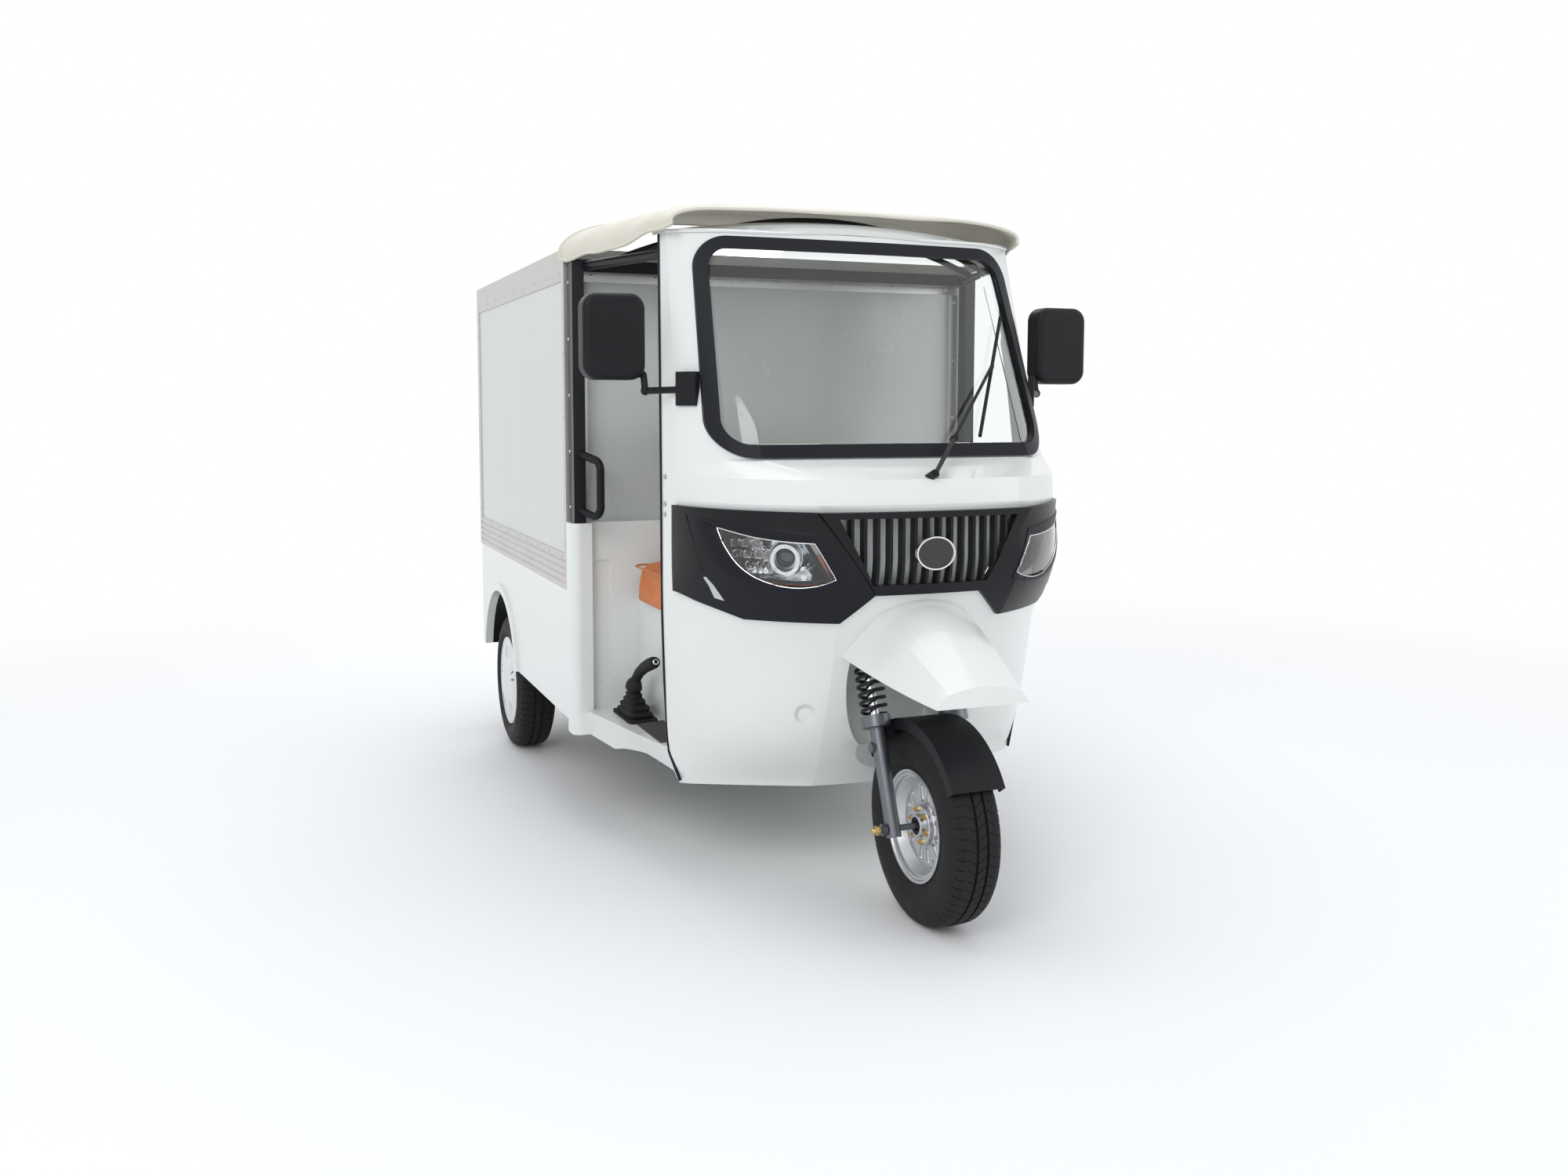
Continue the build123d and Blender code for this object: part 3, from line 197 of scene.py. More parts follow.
def pipe(points, radius, cyclic=False, smooth=True, sides=3):
    """A round bar that follows points, as a mesh."""
    curve = bpy.data.curves.new("bar", "CURVE")
    curve.dimensions = "3D"
    curve.bevel_depth = radius
    curve.bevel_resolution = sides
    curve.use_fill_caps = True
    curve.resolution_u = 6
    spline = curve.splines.new("NURBS" if smooth else "POLY")
    spline.points.add(len(points) - 1)
    for point, place in zip(spline.points, points):
        point.co = (*place, 1.0)
    if smooth:
        spline.order_u = 3
        spline.use_endpoint_u = not cyclic
    spline.use_cyclic_u = cyclic
    mesh = evaluated_mesh(linked("bar", curve))
    bpy.data.curves.remove(curve)
    return mesh


def skin(rows, closed=False, form=None):
    """A skin over rows of points, each row a closed loop. The ends are capped unless the rows close."""
    if form is None:
        form = bmesh.new()
    loops = [[form.verts.new(point) for point in row] for row in rows]
    pairs = list(zip(loops, loops[1:]))
    if closed:
        pairs.append((loops[-1], loops[0]))
    for first, second in pairs:
        for index in range(len(first)):
            after = (index + 1) % len(first)
            form.faces.new((first[index], first[after], second[after], second[index]))
    if not closed:
        form.faces.new(loops[0])
        form.faces.new(loops[-1])
    return form


def arc_points(start, via, end, count):
    """Points on the circle through three points."""
    (ax, ay), (bx, by), (cx, cy) = start, via, end
    d = 2 * (ax * (by - cy) + bx * (cy - ay) + cx * (ay - by))
    a2, b2, c2 = ax * ax + ay * ay, bx * bx + by * by, cx * cx + cy * cy
    ux = (a2 * (by - cy) + b2 * (cy - ay) + c2 * (ay - by)) / d
    uy = (a2 * (cx - bx) + b2 * (ax - cx) + c2 * (bx - ax)) / d
    radius = math.hypot(ax - ux, ay - uy)
    first = math.atan2(ay - uy, ax - ux)
    sweep = (math.atan2(cy - uy, cx - ux) - first + math.pi) % FULL_TURN - math.pi
    turns = [first + sweep * step / count for step in range(count + 1)]
    return [(ux + radius * math.cos(turn), uy + radius * math.sin(turn)) for turn in turns]


# Rays cast onto the solids
def surface_of(*names):
    """The skins of some solids, ready for rays."""
    places, faces = [], []
    for name in names:
        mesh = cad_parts[name].data
        first = len(places)
        places += [vertex.co.copy() for vertex in mesh.vertices]
        faces += [[first + corner for corner in polygon.vertices] for polygon in mesh.polygons]
    return BVHTree.FromPolygons(places, faces)


def landed(surface, start, way, lift=0.0):
    """Where a ray meets a surface, lifted off it, and the way the surface faces."""
    best = None
    way = Vector(way)
    # two more rays a little to each side reach over the gap between two solids
    side = Vector((0.0012, 0.0, 0.0016)) if abs(way.x) < 0.5 else Vector((0.0, 0.001, 0.0016))
    for shift in (Vector(), side, -side):
        place, normal, _, distance = surface.ray_cast(Vector(start) + shift, way)
        if place is not None and (best is None or distance < best[2] - 0.002):
            best = (place - shift, normal, distance)
    if best is None:
        raise RuntimeError(f"no surface at {tuple(start)}")
    place, normal, _ = best
    if normal.dot(way) > 0:
        normal = -normal
    return place + lift * normal, normal


# Node helpers
def add_node(tree, kind, *feeds, how=None, **values):
    """Adds a node to the right of what feeds it. Feeds are plain values or other nodes' outputs."""
    node = tree.nodes.new(kind if "Node" in kind else "ShaderNode" + kind)
    for attribute, setting in (how or {}).items():
        setattr(node, attribute, setting)
    pairs = list(zip(node.inputs, feeds))
    pairs += [(node.inputs[name.replace("_", " ")], value) for name, value in values.items()]
    column = -1100.0
    for socket, value in pairs:
        if isinstance(value, bpy.types.NodeSocket):
            tree.links.new(value, socket)
            column = max(column, value.node.location.x + 200)
        else:
            socket.default_value = value
    node.location = (column, -220.0 * sum(other.location.x == column for other in tree.nodes))
    return node


def worked(tree, operation, *feeds, kind="Math", give=0):
    """The result of a mathematical node."""
    return add_node(tree, kind, *feeds, how={"operation": operation}).outputs[give]


def new_tree(name, kind, outputs, **inputs):
    """An empty node group, with its inputs as a start. The inputs' kinds follow from their values."""
    kinds = {int: "Int", float: "Float", tuple: "Vector", str: ""}
    tree = bpy.data.node_groups.new(name, kind)
    for title, value in inputs.items():
        ending = value if isinstance(value, str) else kinds[type(value)]
        socket = tree.interface.new_socket(title, in_out="INPUT", socket_type="NodeSocket" + ending)
        if not isinstance(value, str):
            socket.default_value = value
    for title in outputs:
        ending = "Geometry" if title == "Geometry" else "Float"
        tree.interface.new_socket(title, in_out="OUTPUT", socket_type="NodeSocket" + ending)
    start = tree.nodes.new("NodeGroupInput")
    start.location = (-1300, 0)
    return tree, start.outputs


def end_tree(tree, *feeds):
    """Links the results to the group's outputs."""
    add_node(tree, "NodeGroupOutput", *feeds)
    return tree


# Shared effects
def effect_tree(name, *outputs, **inputs):
    """An empty shader group that takes a Vector."""
    return new_tree(name, "ShaderNodeTree", outputs, Vector="Vector", **inputs)


def mottle_effect():
    """Slow cloudy variation, as on a moulded or painted surface."""
    tree, given = effect_tree("Cloudy variation", "Mask", "Height", Scale=4.0, Contrast=0.5)
    place = {"Vector": given["Vector"], "Scale": given["Scale"]}
    noise = add_node(tree, "TexNoise", Detail=4.0, Roughness=0.55, **place)
    centred = worked(tree, "SUBTRACT", noise.outputs["Fac"], 0.5)
    spread = add_node(tree, "Math", centred, given["Contrast"], 0.5, how={"operation": "MULTIPLY_ADD"})
    spread.use_clamp = True
    return end_tree(tree, spread.outputs[0], noise.outputs["Fac"])


def grain_effect():
    """Fine pebbled grain, as on moulded plastic, rubber and leathercloth."""
    tree, given = effect_tree("Pebbled grain", "Mask", "Height", Scale=600.0, Softness=0.6)
    place = {"Vector": given["Vector"], "Scale": given["Scale"]}
    cells = add_node(tree, "TexVoronoi", how={"feature": "SMOOTH_F1"}, Smoothness=given["Softness"], **place)
    noise = add_node(tree, "TexNoise", Detail=3.0, **place)
    height = worked(tree, "ADD", cells.outputs["Distance"], noise.outputs["Fac"])
    return end_tree(tree, noise.outputs["Fac"], height)


def brush_effect():
    """Long fine scratches along one axis, as on drawn or rolled metal."""
    tree, given = effect_tree("Drawn metal lines", "Mask", "Height", Stretch=(400.0, 4.0, 400.0), Depth=0.5)
    drawn = worked(tree, "MULTIPLY", given["Vector"], given["Stretch"], kind="VectorMath")
    noise = add_node(tree, "TexNoise", Vector=drawn, Scale=1.0, Detail=3.0)
    depth = worked(tree, "MULTIPLY", noise.outputs["Fac"], given["Depth"])
    return end_tree(tree, noise.outputs["Fac"], depth)


def weave_effect():
    """Crossed threads of coated cloth."""
    tree, given = effect_tree("Cloth weave", "Mask", "Height", Scale=260.0)
    place = {"Vector": given["Vector"], "Scale": given["Scale"]}
    threads = []
    for direction in ("X", "Y"):
        bands = {"wave_type": "BANDS", "bands_direction": direction}
        wave = add_node(tree, "TexWave", how=bands, Distortion=0.4, Detail=1.0, **place)
        threads.append(wave.outputs["Fac"])
    both = worked(tree, "MULTIPLY", *threads)
    return end_tree(tree, both, both)


def film_effect():
    """Thin road film that fades out with height above the ground."""
    tree, given = effect_tree("Road film", "Mask", Top=0.6, Amount=0.3)
    height = add_node(tree, "SeparateXYZ", given["Vector"]).outputs["Z"]
    fall = add_node(tree, "MapRange", Value=height, From_Min=0.0, From_Max=given["Top"], To_Min=1.0)
    fall.inputs["To Max"].default_value = 0.0
    noise = add_node(tree, "TexNoise", Vector=given["Vector"], Scale=9.0, Detail=5.0)
    patchy = worked(tree, "MULTIPLY", fall.outputs["Result"], noise.outputs["Fac"])
    return end_tree(tree, worked(tree, "MULTIPLY", patchy, given["Amount"]))


EFFECTS = {}
FINISHES = {}


class Finish:
    """A material with one Principled shader, built up in steps."""

    def __init__(self, name, colour, roughness, metallic=0.0, coat=0.0, **plain):
        self.material = bpy.data.materials.new(name)
        self.material.use_nodes = True
        self.tree = self.material.node_tree
        self.tree.nodes.clear()
        self.place = add_node(self.tree, "TexCoord").outputs["Object"]
        self.shader = add_node(
            self.tree, "BsdfPrincipled", Base_Color=(*colour, 1.0), Roughness=roughness, Metallic=metallic,
            Coat_Weight=coat, **plain
        )
        self.shader.location = (900, 0)
        self.output = add_node(self.tree, "OutputMaterial", self.shader.outputs[0])
        self.colour = (*colour, 1.0)
        self.normal = None

    def use(self, name, **values):
        """Places a shared effect, read from Object coordinates, and gives its outputs."""
        made = add_node(self.tree, "Group", how={"node_tree": EFFECTS[name]}, Vector=self.place, **values)
        return made.outputs

    def tint(self, mask, shade, strength=1.0):
        """Mixes another colour in where a mask is high."""
        if strength != 1.0:
            mask = worked(self.tree, "MULTIPLY", mask, strength)
        mix = add_node(self.tree, "Mix", how={"data_type": "RGBA"}, Factor=mask, A=self.colour)
        mix.inputs["B"].default_value = (*shade, 1.0)
        self.colour = mix.outputs["Result"]
        self.tree.links.new(self.colour, self.shader.inputs["Base Color"])

    def vary(self, mask, low, high, socket="Roughness"):
        """Maps a mask onto a range of a shader value."""
        spread = add_node(self.tree, "MapRange", Value=mask, To_Min=low, To_Max=high)
        self.tree.links.new(spread.outputs["Result"], self.shader.inputs[socket])

    def relief(self, height, distance, strength=1.0):
        """Adds a bump on top of those already there."""
        bump = add_node(self.tree, "Bump", Height=height, Distance=distance, Strength=strength)
        if self.normal:
            self.tree.links.new(self.normal, bump.inputs["Normal"])
        self.normal = bump.outputs["Normal"]
        self.tree.links.new(self.normal, self.shader.inputs["Normal"])


def toned(name, colour, roughness, cloud, shade, rough, *reliefs, film=None, **plain):
    """A finish with a cloudy tone and roughness.

    cloud holds the tone's scale and contrast, shade its other colour and share, rough the range of
    roughness. Each relief is an effect with its scale, distance and strength. film holds a road film's
    top, amount and colour.
    """
    finish = Finish(name, colour, roughness, **plain)
    cloudy = finish.use("cloudy", Scale=cloud[0], Contrast=cloud[1])
    if shade:
        finish.tint(cloudy["Mask"], *shade)
    if film:
        top, amount, dust = film
        finish.tint(finish.use("film", Top=top, Amount=amount)["Mask"], dust)
    finish.vary(cloudy["Mask"], *rough)
    for effect, scale, distance, strength in reliefs:
        finish.relief(finish.use(effect, Scale=scale)["Height"], distance, strength)
    return finish


def metal(name, colour, roughness, metallic=1.0):
    """A worn metal with cloudy tone and a fine grain."""
    darker = tuple(0.6 * value for value in colour)
    rough = (0.8 * roughness, min(1.3 * roughness, 0.9))
    return toned(name, colour, roughness, (40.0, 1.2), (darker, 0.4), rough, ("grain", 700.0, 0.0002, 0.3),
                 metallic=metallic)


def white_moulding(paint):
    """Glossy white moulded body panels, with a shallow round dish in each flank of the lower body."""
    finish = toned(
        "White body moulding", paint.body_white, 0.24, (2.2, 0.9), (paint.body_shade, 0.5), (0.20, 0.32),
        ("cloudy", 5.0, 0.004, 0.12), ("cloudy", 210.0, 0.0003, 0.25),
        film=(0.75, 0.22, (0.42, 0.40, 0.36)), coat=0.35)
    tree = finish.tree
    parts = add_node(tree, "SeparateXYZ", finish.place).outputs
    folded = add_node(tree, "CombineXYZ", worked(tree, "ABSOLUTE", parts["X"]), parts["Y"], parts["Z"])
    reach = worked(tree, "DISTANCE", folded.outputs[0], DIMPLE, kind="VectorMath", give="Value")
    dish = add_node(
        tree, "MapRange", how={"interpolation_type": "SMOOTHSTEP"}, Value=reach, From_Min=DIMPLE_RADIUS / 2,
        From_Max=DIMPLE_RADIUS)
    finish.relief(dish.outputs["Result"], 0.007, 1.0)
    return finish


def panel_skin(paint):
    """Pre-painted sheet skins of the load box."""
    finish = Finish("Painted sheet skin", paint.panel_white, 0.26, metallic=0.1, coat=0.25)
    wavy = finish.use("cloudy", Scale=1.6, Contrast=1.0)
    fine = finish.use("brush", Stretch=(60.0, 60.0, 3.0), Depth=0.4)
    finish.tint(wavy["Mask"], paint.panel_shade, 0.6)
    finish.vary(wavy["Mask"], 0.2, 0.32)
    finish.relief(wavy["Height"], 0.012, 0.14)
    finish.relief(fine["Height"], 0.0003, 0.2)
    return finish


def frame_metal(paint):
    """Extruded aluminium of the load box's frame."""
    finish = Finish("Extruded aluminium", paint.frame_metal, 0.38, metallic=0.85)
    lines = finish.use("brush", Stretch=(500.0, 6.0, 500.0), Depth=0.6)
    finish.tint(finish.use("cloudy", Scale=12.0, Contrast=1.2)["Mask"], (0.42, 0.41, 0.40), 0.35)
    finish.vary(lines["Mask"], 0.28, 0.5)
    finish.relief(lines["Height"], 0.0002, 0.5)
    return finish


def fork_metal():
    """Grey painted sliders with bright rods inside the springs."""
    finish = Finish("Fork paint and rods", (0.17, 0.18, 0.2), 0.34, metallic=0.75, coat=0.2)
    finish.tint(finish.use("cloudy", Scale=26.0, Contrast=1.2)["Mask"], (0.12, 0.125, 0.14), 0.7)
    tree = finish.tree
    along = worked(tree, "DOT_PRODUCT", finish.place, STEER_AXIS, kind="VectorMath", give="Value")
    axle = STEER_AXIS.dot(station(0.0, 0.0, 0.252))
    above = worked(tree, "GREATER_THAN", along, axle + ROD_START)
    rod = worked(tree, "MULTIPLY", above, worked(tree, "LESS_THAN", along, axle + ROD_END))
    finish.tint(rod, (0.75, 0.76, 0.78))
    finish.vary(rod, 0.34, 0.12)
    finish.vary(rod, 0.75, 1.0, socket="Metallic")
    finish.relief(finish.use("grain", Scale=500.0)["Height"], 0.0002, 0.25)
    return finish


def reflector_metal():
    """Bright reflector with a black rim where it meets the lens."""
    finish = Finish("Reflector metal", (0.86, 0.87, 0.88), 0.1, metallic=1.0)
    tree = finish.tree
    parts = add_node(tree, "SeparateXYZ", finish.place).outputs
    sine, cosine = math.sin(LAMP_SWEEP), math.cos(LAMP_SWEEP)
    across = worked(tree, "MULTIPLY", worked(tree, "ABSOLUTE", parts["X"]), -sine)
    depth = worked(tree, "MULTIPLY_ADD", parts["Y"], cosine, across)
    face = cosine * (LAMP_FACE[1] + CAB_Y) - sine * LAMP_FACE[0]
    rim = worked(tree, "LESS_THAN", depth, face + 0.003)
    cloudy = finish.use("cloudy", Scale=60.0, Contrast=1.3)
    finish.tint(cloudy["Mask"], (0.5, 0.52, 0.55), 0.6)
    finish.tint(rim, (0.012, 0.012, 0.013))
    finish.vary(rim, 0.1, 0.35)
    finish.relief(cloudy["Height"], 0.003, 0.4)
    return finish


def badge_metal():
    """Black field inside a bright rim, with nothing on it."""
    finish = Finish("Badge", (0.012, 0.012, 0.013), 0.22, coat=0.4)
    low, high = corners("grille_badge")
    size = ((high.x - low.x) / 2, 1000.0, (high.z - low.z) / 2)
    moved = add_node(finish.tree, "Mapping", how={"vector_type": "TEXTURE"}, Vector=finish.place,
                     Location=middle("grille_badge"), Scale=size)
    radius = worked(finish.tree, "LENGTH", moved.outputs[0], kind="VectorMath", give="Value")
    rim = worked(finish.tree, "GREATER_THAN", radius, 0.915)
    finish.tint(rim, (0.8, 0.8, 0.82))
    finish.vary(rim, 0.0, 1.0, socket="Metallic")
    finish.vary(finish.use("cloudy", Scale=80.0, Contrast=1.2)["Mask"], 0.16, 0.28)
    return finish


def seat_cover(paint):
    """Tan leathercloth."""
    finish = Finish("Tan leathercloth", paint.seat_tan, 0.5)
    grain = finish.use("grain", Scale=420.0, Softness=0.4)
    finish.tint(finish.use("cloudy", Scale=9.0, Contrast=1.3)["Mask"], paint.seat_shade, 0.7)
    finish.tint(grain["Mask"], paint.seat_shade, 0.25)
    finish.vary(grain["Mask"], 0.42, 0.62)
    finish.relief(grain["Height"], 0.0007, 0.5)
    return finish


def canopy_cloth(paint):
    """Cream coated canvas."""
    finish = Finish("Cream canvas", paint.canvas_cream, 0.55, Sheen_Weight=0.1)
    weave = finish.use("weave", Scale=170.0)
    cloudy = finish.use("cloudy", Scale=5.0, Contrast=1.2)
    finish.tint(cloudy["Mask"], paint.canvas_shade, 0.6)
    finish.tint(weave["Mask"], paint.canvas_shade, 0.2)
    finish.vary(cloudy["Mask"], 0.45, 0.65)
    finish.relief(finish.use("cloudy", Scale=14.0, Contrast=1.5)["Height"], 0.006, 0.25)
    finish.relief(weave["Height"], 0.0004, 0.4)
    return finish


def red_lens():
    """Ribbed red lamp lens."""
    finish = Finish("Red lens", (0.42, 0.012, 0.012), 0.18, coat=0.5)
    ribs = finish.use("brush", Stretch=(300.0, 300.0, 2.0), Depth=0.6)
    finish.tint(ribs["Mask"], (0.6, 0.04, 0.03), 0.5)
    finish.vary(ribs["Mask"], 0.12, 0.26)
    finish.relief(ribs["Height"], 0.001, 0.3)
    return finish


def make_finishes(paint):
    """Builds every material once."""
    EFFECTS.update(cloudy=mottle_effect(), grain=grain_effect(), brush=brush_effect(), weave=weave_effect(),
                   film=film_effect())
    clear = {"Transmission_Weight": 1.0}
    made = {
        "white": white_moulding(paint),
        "skin": panel_skin(paint),
        "alloy": frame_metal(paint),
        "fork": fork_metal(),
        "reflector": reflector_metal(),
        "badge": badge_metal(),
        "seat": seat_cover(paint),
        "canvas": canopy_cloth(paint),
        "red": red_lens(),
        "moulding": toned(
            "Black moulding", paint.trim_black, 0.42, (7.0, 1.0), ((0.014, 0.015, 0.018), 0.6),
            (0.34, 0.5), ("grain", 900.0, 0.0003, 0.35), Specular_IOR_Level=0.2),
        "lamp": toned(
            "Black lamp moulding", paint.trim_black, 0.3, (5.0, 1.0), ((0.012, 0.013, 0.016), 0.6),
            (0.26, 0.38), ("grain", 1300.0, 0.0002, 0.15), Specular_IOR_Level=0.22),
        "enamel": toned(
            "Black enamel", (0.008, 0.009, 0.012), 0.3, (16.0, 1.2), ((0.016, 0.016, 0.020), 0.5),
            (0.24, 0.4), ("cloudy", 300.0, 0.0003, 0.3), coat=0.1, Specular_IOR_Level=0.25),
        # Window rubber: the bluish tint of its colour and of its cloudy tone is a painted reflection of the
        # sky, shared by the lamp bezels and door edging
        "seal": toned(
            "Window rubber with painted sky tint", (0.006, 0.007, 0.011), 0.42, (9.0, 1.2), ((0.012, 0.013, 0.019), 0.6),
            (0.34, 0.5), ("grain", 1500.0, 0.00015, 0.3), Specular_IOR_Level=0.2),
        "tyre": toned(
            "Tyre rubber", (0.008, 0.008, 0.009), 0.62, (24.0, 1.3), ((0.016, 0.016, 0.017), 0.6),
            (0.52, 0.74), ("grain", 700.0, 0.0003, 0.4), film=(0.5, 0.22, (0.07, 0.065, 0.06)),
            Specular_IOR_Level=0.22),
        "rubber": toned(
            "Matte rubber", (0.010, 0.010, 0.011), 0.66, (20.0, 1.2), ((0.022, 0.022, 0.024), 0.5),
            (0.56, 0.76), ("grain", 800.0, 0.0004, 0.4), Specular_IOR_Level=0.22),
        "mat": toned(
            "Floor mat", (0.055, 0.055, 0.054), 0.75, (9.0, 1.4), ((0.085, 0.078, 0.070), 0.7), (0.68, 0.85),
            ("grain", 500.0, 0.0005, 0.5), Specular_IOR_Level=0.2),
        "cast": toned(
            "Cast aluminium", (0.66, 0.67, 0.69), 0.32, (30.0, 1.3), ((0.38, 0.39, 0.41), 0.5), (0.22, 0.46),
            ("grain", 500.0, 0.0003, 0.4), metallic=0.95),
        "cover": toned(
            "Wheel cover paint", (0.76, 0.77, 0.78), 0.3, (14.0, 1.2), ((0.66, 0.67, 0.68), 0.6),
            (0.24, 0.4), ("cloudy", 260.0, 0.0003, 0.25), film=(0.5, 0.5, (0.35, 0.33, 0.30)), coat=0.3),
        "glass": toned(
            "Windscreen glass", (0.93, 0.97, 0.965), 0.0, (3.0, 1.0), None, (0.0, 0.02), IOR=1.45, **clear),
        "lens": toned(
            "Lamp lens", (0.96, 0.98, 0.99), 0.0, (40.0, 1.0), None, (0.0, 0.03),
            ("cloudy", 40.0, 0.0004, 0.2), IOR=1.46, **clear),
        "mirror": toned(
            "Mirror glass", (0.86, 0.88, 0.9), 0.02, (6.0, 1.0), None, (0.01, 0.04), metallic=1.0),
        "eye": toned(
            "Projector lens", (0.008, 0.010, 0.022), 0.05, (50.0, 1.2), ((0.03, 0.035, 0.07), 0.8),
            (0.03, 0.1), coat=0.6),
        "zinc": metal("Zinc plate", (0.6, 0.6, 0.6), 0.34),
        "brass": metal("Yellow zinc nuts", (0.66, 0.48, 0.2), 0.32),
        "chrome": metal("Bright metal", (0.8, 0.81, 0.83), 0.12),
        "steel": metal("Axle steel", (0.2, 0.2, 0.21), 0.5, metallic=0.8),
        "satin": metal("Satin metal", (0.62, 0.63, 0.66), 0.34),
        "diode": metal("Lamp diodes", (0.62, 0.56, 0.48), 0.16, metallic=0.7),
    }
    FINISHES.update({key: finish.material for key, finish in made.items()})


# Which finish each solid of the frame gets
NODE_FINISHES = {
    "white": (
        "lower_front_body", "upper_front_body", "front_beak", "cab_tub", "body_skirts", "rear_valance",
        "seat_base",
    ),
    "skin": (
        "cargo_walls", "cargo_floor", "cargo_roof", "cargo_front_wall", "rear_door_left", "rear_door_right",
    ),
    "alloy": ("cargo_frame",),
    "lamp": ("lamp_bands", "grille"),
    "moulding": (
        "wiper", "mirrors", "dashboard", "grab_handles", "wheel_housings", "inner_mudguard", "battery_box",
    ),
    "enamel": (
        "hoop_frame", "handlebar", "brake_pedal", "hand_lever", "rear_bumper", "chassis_frame",
        "fork_springs",
    ),
    "seal": ("windscreen_seal",),
    "rubber": ("lever_boot", "handlebar_grips"),
    "mat": ("floor_mat",),
    "cast": ("front_rim",),
    "cover": ("rear_rim_left", "rear_rim_right"),
    "fork": ("fork",),
    "glass": ("windscreen_glass",),
    "lens": ("headlamp_lenses",),
    "reflector": ("headlamps",),
    "badge": ("grille_badge",),
    "red": ("tail_lamps",),
    "chrome": ("front_hub",),
    "zinc": ("door_hinges",),
    "steel": ("rear_axle", "leaf_springs", "drive_motor"),
    "seat": ("seat_cushion",),
    "canvas": ("canopy",),
    "tyre": ("front_tyre", "rear_tyre_left", "rear_tyre_right"),
}


# Settings shown in the sidebar
def colour_property(name, description, default):
    return bpy.props.FloatVectorProperty(
        name=name, description=description, subtype="COLOR", size=3, min=0.0, max=1.0, default=default
    )


def length_property(name, description, default):
    return bpy.props.FloatProperty(
        name=name, description=description, subtype="DISTANCE", unit="LENGTH", min=0.0, default=default
    )


def number_property(name, description, default, **limits):
    return bpy.props.FloatProperty(name=name, description=description, default=default, **limits)


class PaintSettings(bpy.types.PropertyGroup):
    """Colours of the vehicle."""

    body_white: colour_property("Body white", "Colour of the moulded body panels", (0.80, 0.82, 0.80))
    body_shade: colour_property("Body shade", "Slow darker variation of the body", (0.72, 0.75, 0.74))
    panel_white: colour_property("Box skin", "Colour of the load box's skins", (0.60, 0.63, 0.61))
    panel_shade: colour_property("Box shade", "Slow darker variation of the skins", (0.50, 0.54, 0.53))
    frame_metal: colour_property("Box frame", "Colour of the extruded frame", (0.62, 0.61, 0.60))
    trim_black: colour_property("Black trim", "Colour of the black mouldings", (0.007, 0.007, 0.009))
    seat_tan: colour_property("Seat tan", "Colour of the seat cover", (0.68, 0.21, 0.055))
    seat_shade: colour_property("Seat shade", "Darker tone of the seat cover", (0.50, 0.14, 0.035))
    canvas_cream: colour_property("Canvas cream", "Colour of the canopy", (0.72, 0.70, 0.62))
    canvas_shade: colour_property("Canvas shade", "Darker tone of the canopy", (0.60, 0.56, 0.44))


class TreadSettings(bpy.types.PropertyGroup):
    """Tread of the three tyres."""

    pitches: bpy.props.IntProperty(
        name="Pitches", description="Tread blocks round a tyre", min=24, max=96, default=60
    )
    groove: length_property("Groove width", "Width of the main grooves", 0.007)
    depth: length_property("Groove depth", "Depth of the main grooves", 0.006)
    cut: length_property("Cut depth", "Depth of the cross cuts", 0.004)


class FastenerSettings(bpy.types.PropertyGroup):
    """Rivets and screws."""

    rivet_radius: length_property("Rivet radius", "Radius of a rivet's head", 0.0055)
    rivet_spacing: length_property("Rivet spacing", "Distance between rivets along a member", 0.165)
    screw_radius: length_property("Screw radius", "Radius of a pillar screw's head", 0.007)


class SoftSettings(bpy.types.PropertyGroup):
    """Seat cushion and canopy."""

    cushion_voxel: length_property("Cushion mesh", "Voxel size of the cushion's mesh", 0.008)
    cushion_swell: length_property("Cushion swell", "Most that the cushion's cover may bulge", 0.012)
    welt: length_property("Welt", "Radius of the seam welt round the cushion", 0.0028)
    hem: length_property("Hem", "Radius of the canopy's rolled hem", 0.005)


class StudioSettings(bpy.types.PropertyGroup):
    """Camera, lamps and floor."""

    place: bpy.props.FloatVectorProperty(
        name="Camera place", description="Where the camera stands", subtype="TRANSLATION", unit="LENGTH",
        size=3, default=(-1.601, -4.1765, 1.300),
    )
    yaw: number_property("Yaw", "Turn towards the vehicle's left", 0.3833, subtype="ANGLE")
    pitch: number_property("Pitch", "Upward tilt", -0.0857, subtype="ANGLE")
    roll: number_property("Roll", "Turn about the line of sight", 0.0019, subtype="ANGLE")
    lens: number_property("Lens", "Focal length in millimetres", 31.0, min=10.0)
    shift: number_property("Shift", "Vertical lens shift", -0.0407)
    key: number_property("Key lamp", "Power of the key lamp in watts", 112.0, min=0.0)
    floor: colour_property("Floor", "Colour of the floor", (0.93, 0.93, 0.93))


class TricycleSettings(bpy.types.PropertyGroup):
    """All settings of the tricycle."""

    paint: bpy.props.PointerProperty(type=PaintSettings)
    tread: bpy.props.PointerProperty(type=TreadSettings)
    fasteners: bpy.props.PointerProperty(type=FastenerSettings)
    soft: bpy.props.PointerProperty(type=SoftSettings)
    studio: bpy.props.PointerProperty(type=StudioSettings)


# Geometry Nodes
def coated_tree(tree, given, geometry):
    """Ends a tree in Realize Instances and Set Material."""
    real = add_node(tree, "GeometryNodeRealizeInstances", Geometry=geometry)
    coat = add_node(tree, "GeometryNodeSetMaterial", Geometry=real.outputs[0], Material=given["Material"])
    return end_tree(tree, coat.outputs["Geometry"])


def run_tree(source, tree, **values):
    """Runs a tree on a mesh once and gives the plain mesh it makes."""
    holder = linked("holder", source)
    modifier = holder.modifiers.new("Repeat", "NODES")
    modifier.node_group = tree
    sockets = {item.name: item.identifier for item in tree.interface.items_tree if item.in_out == "INPUT"}
    for title, value in values.items():
        modifier[sockets[title]] = value
    mesh = evaluated_mesh(holder)
    holder.modifiers.remove(modifier)
    bpy.data.objects.remove(holder)
    return mesh


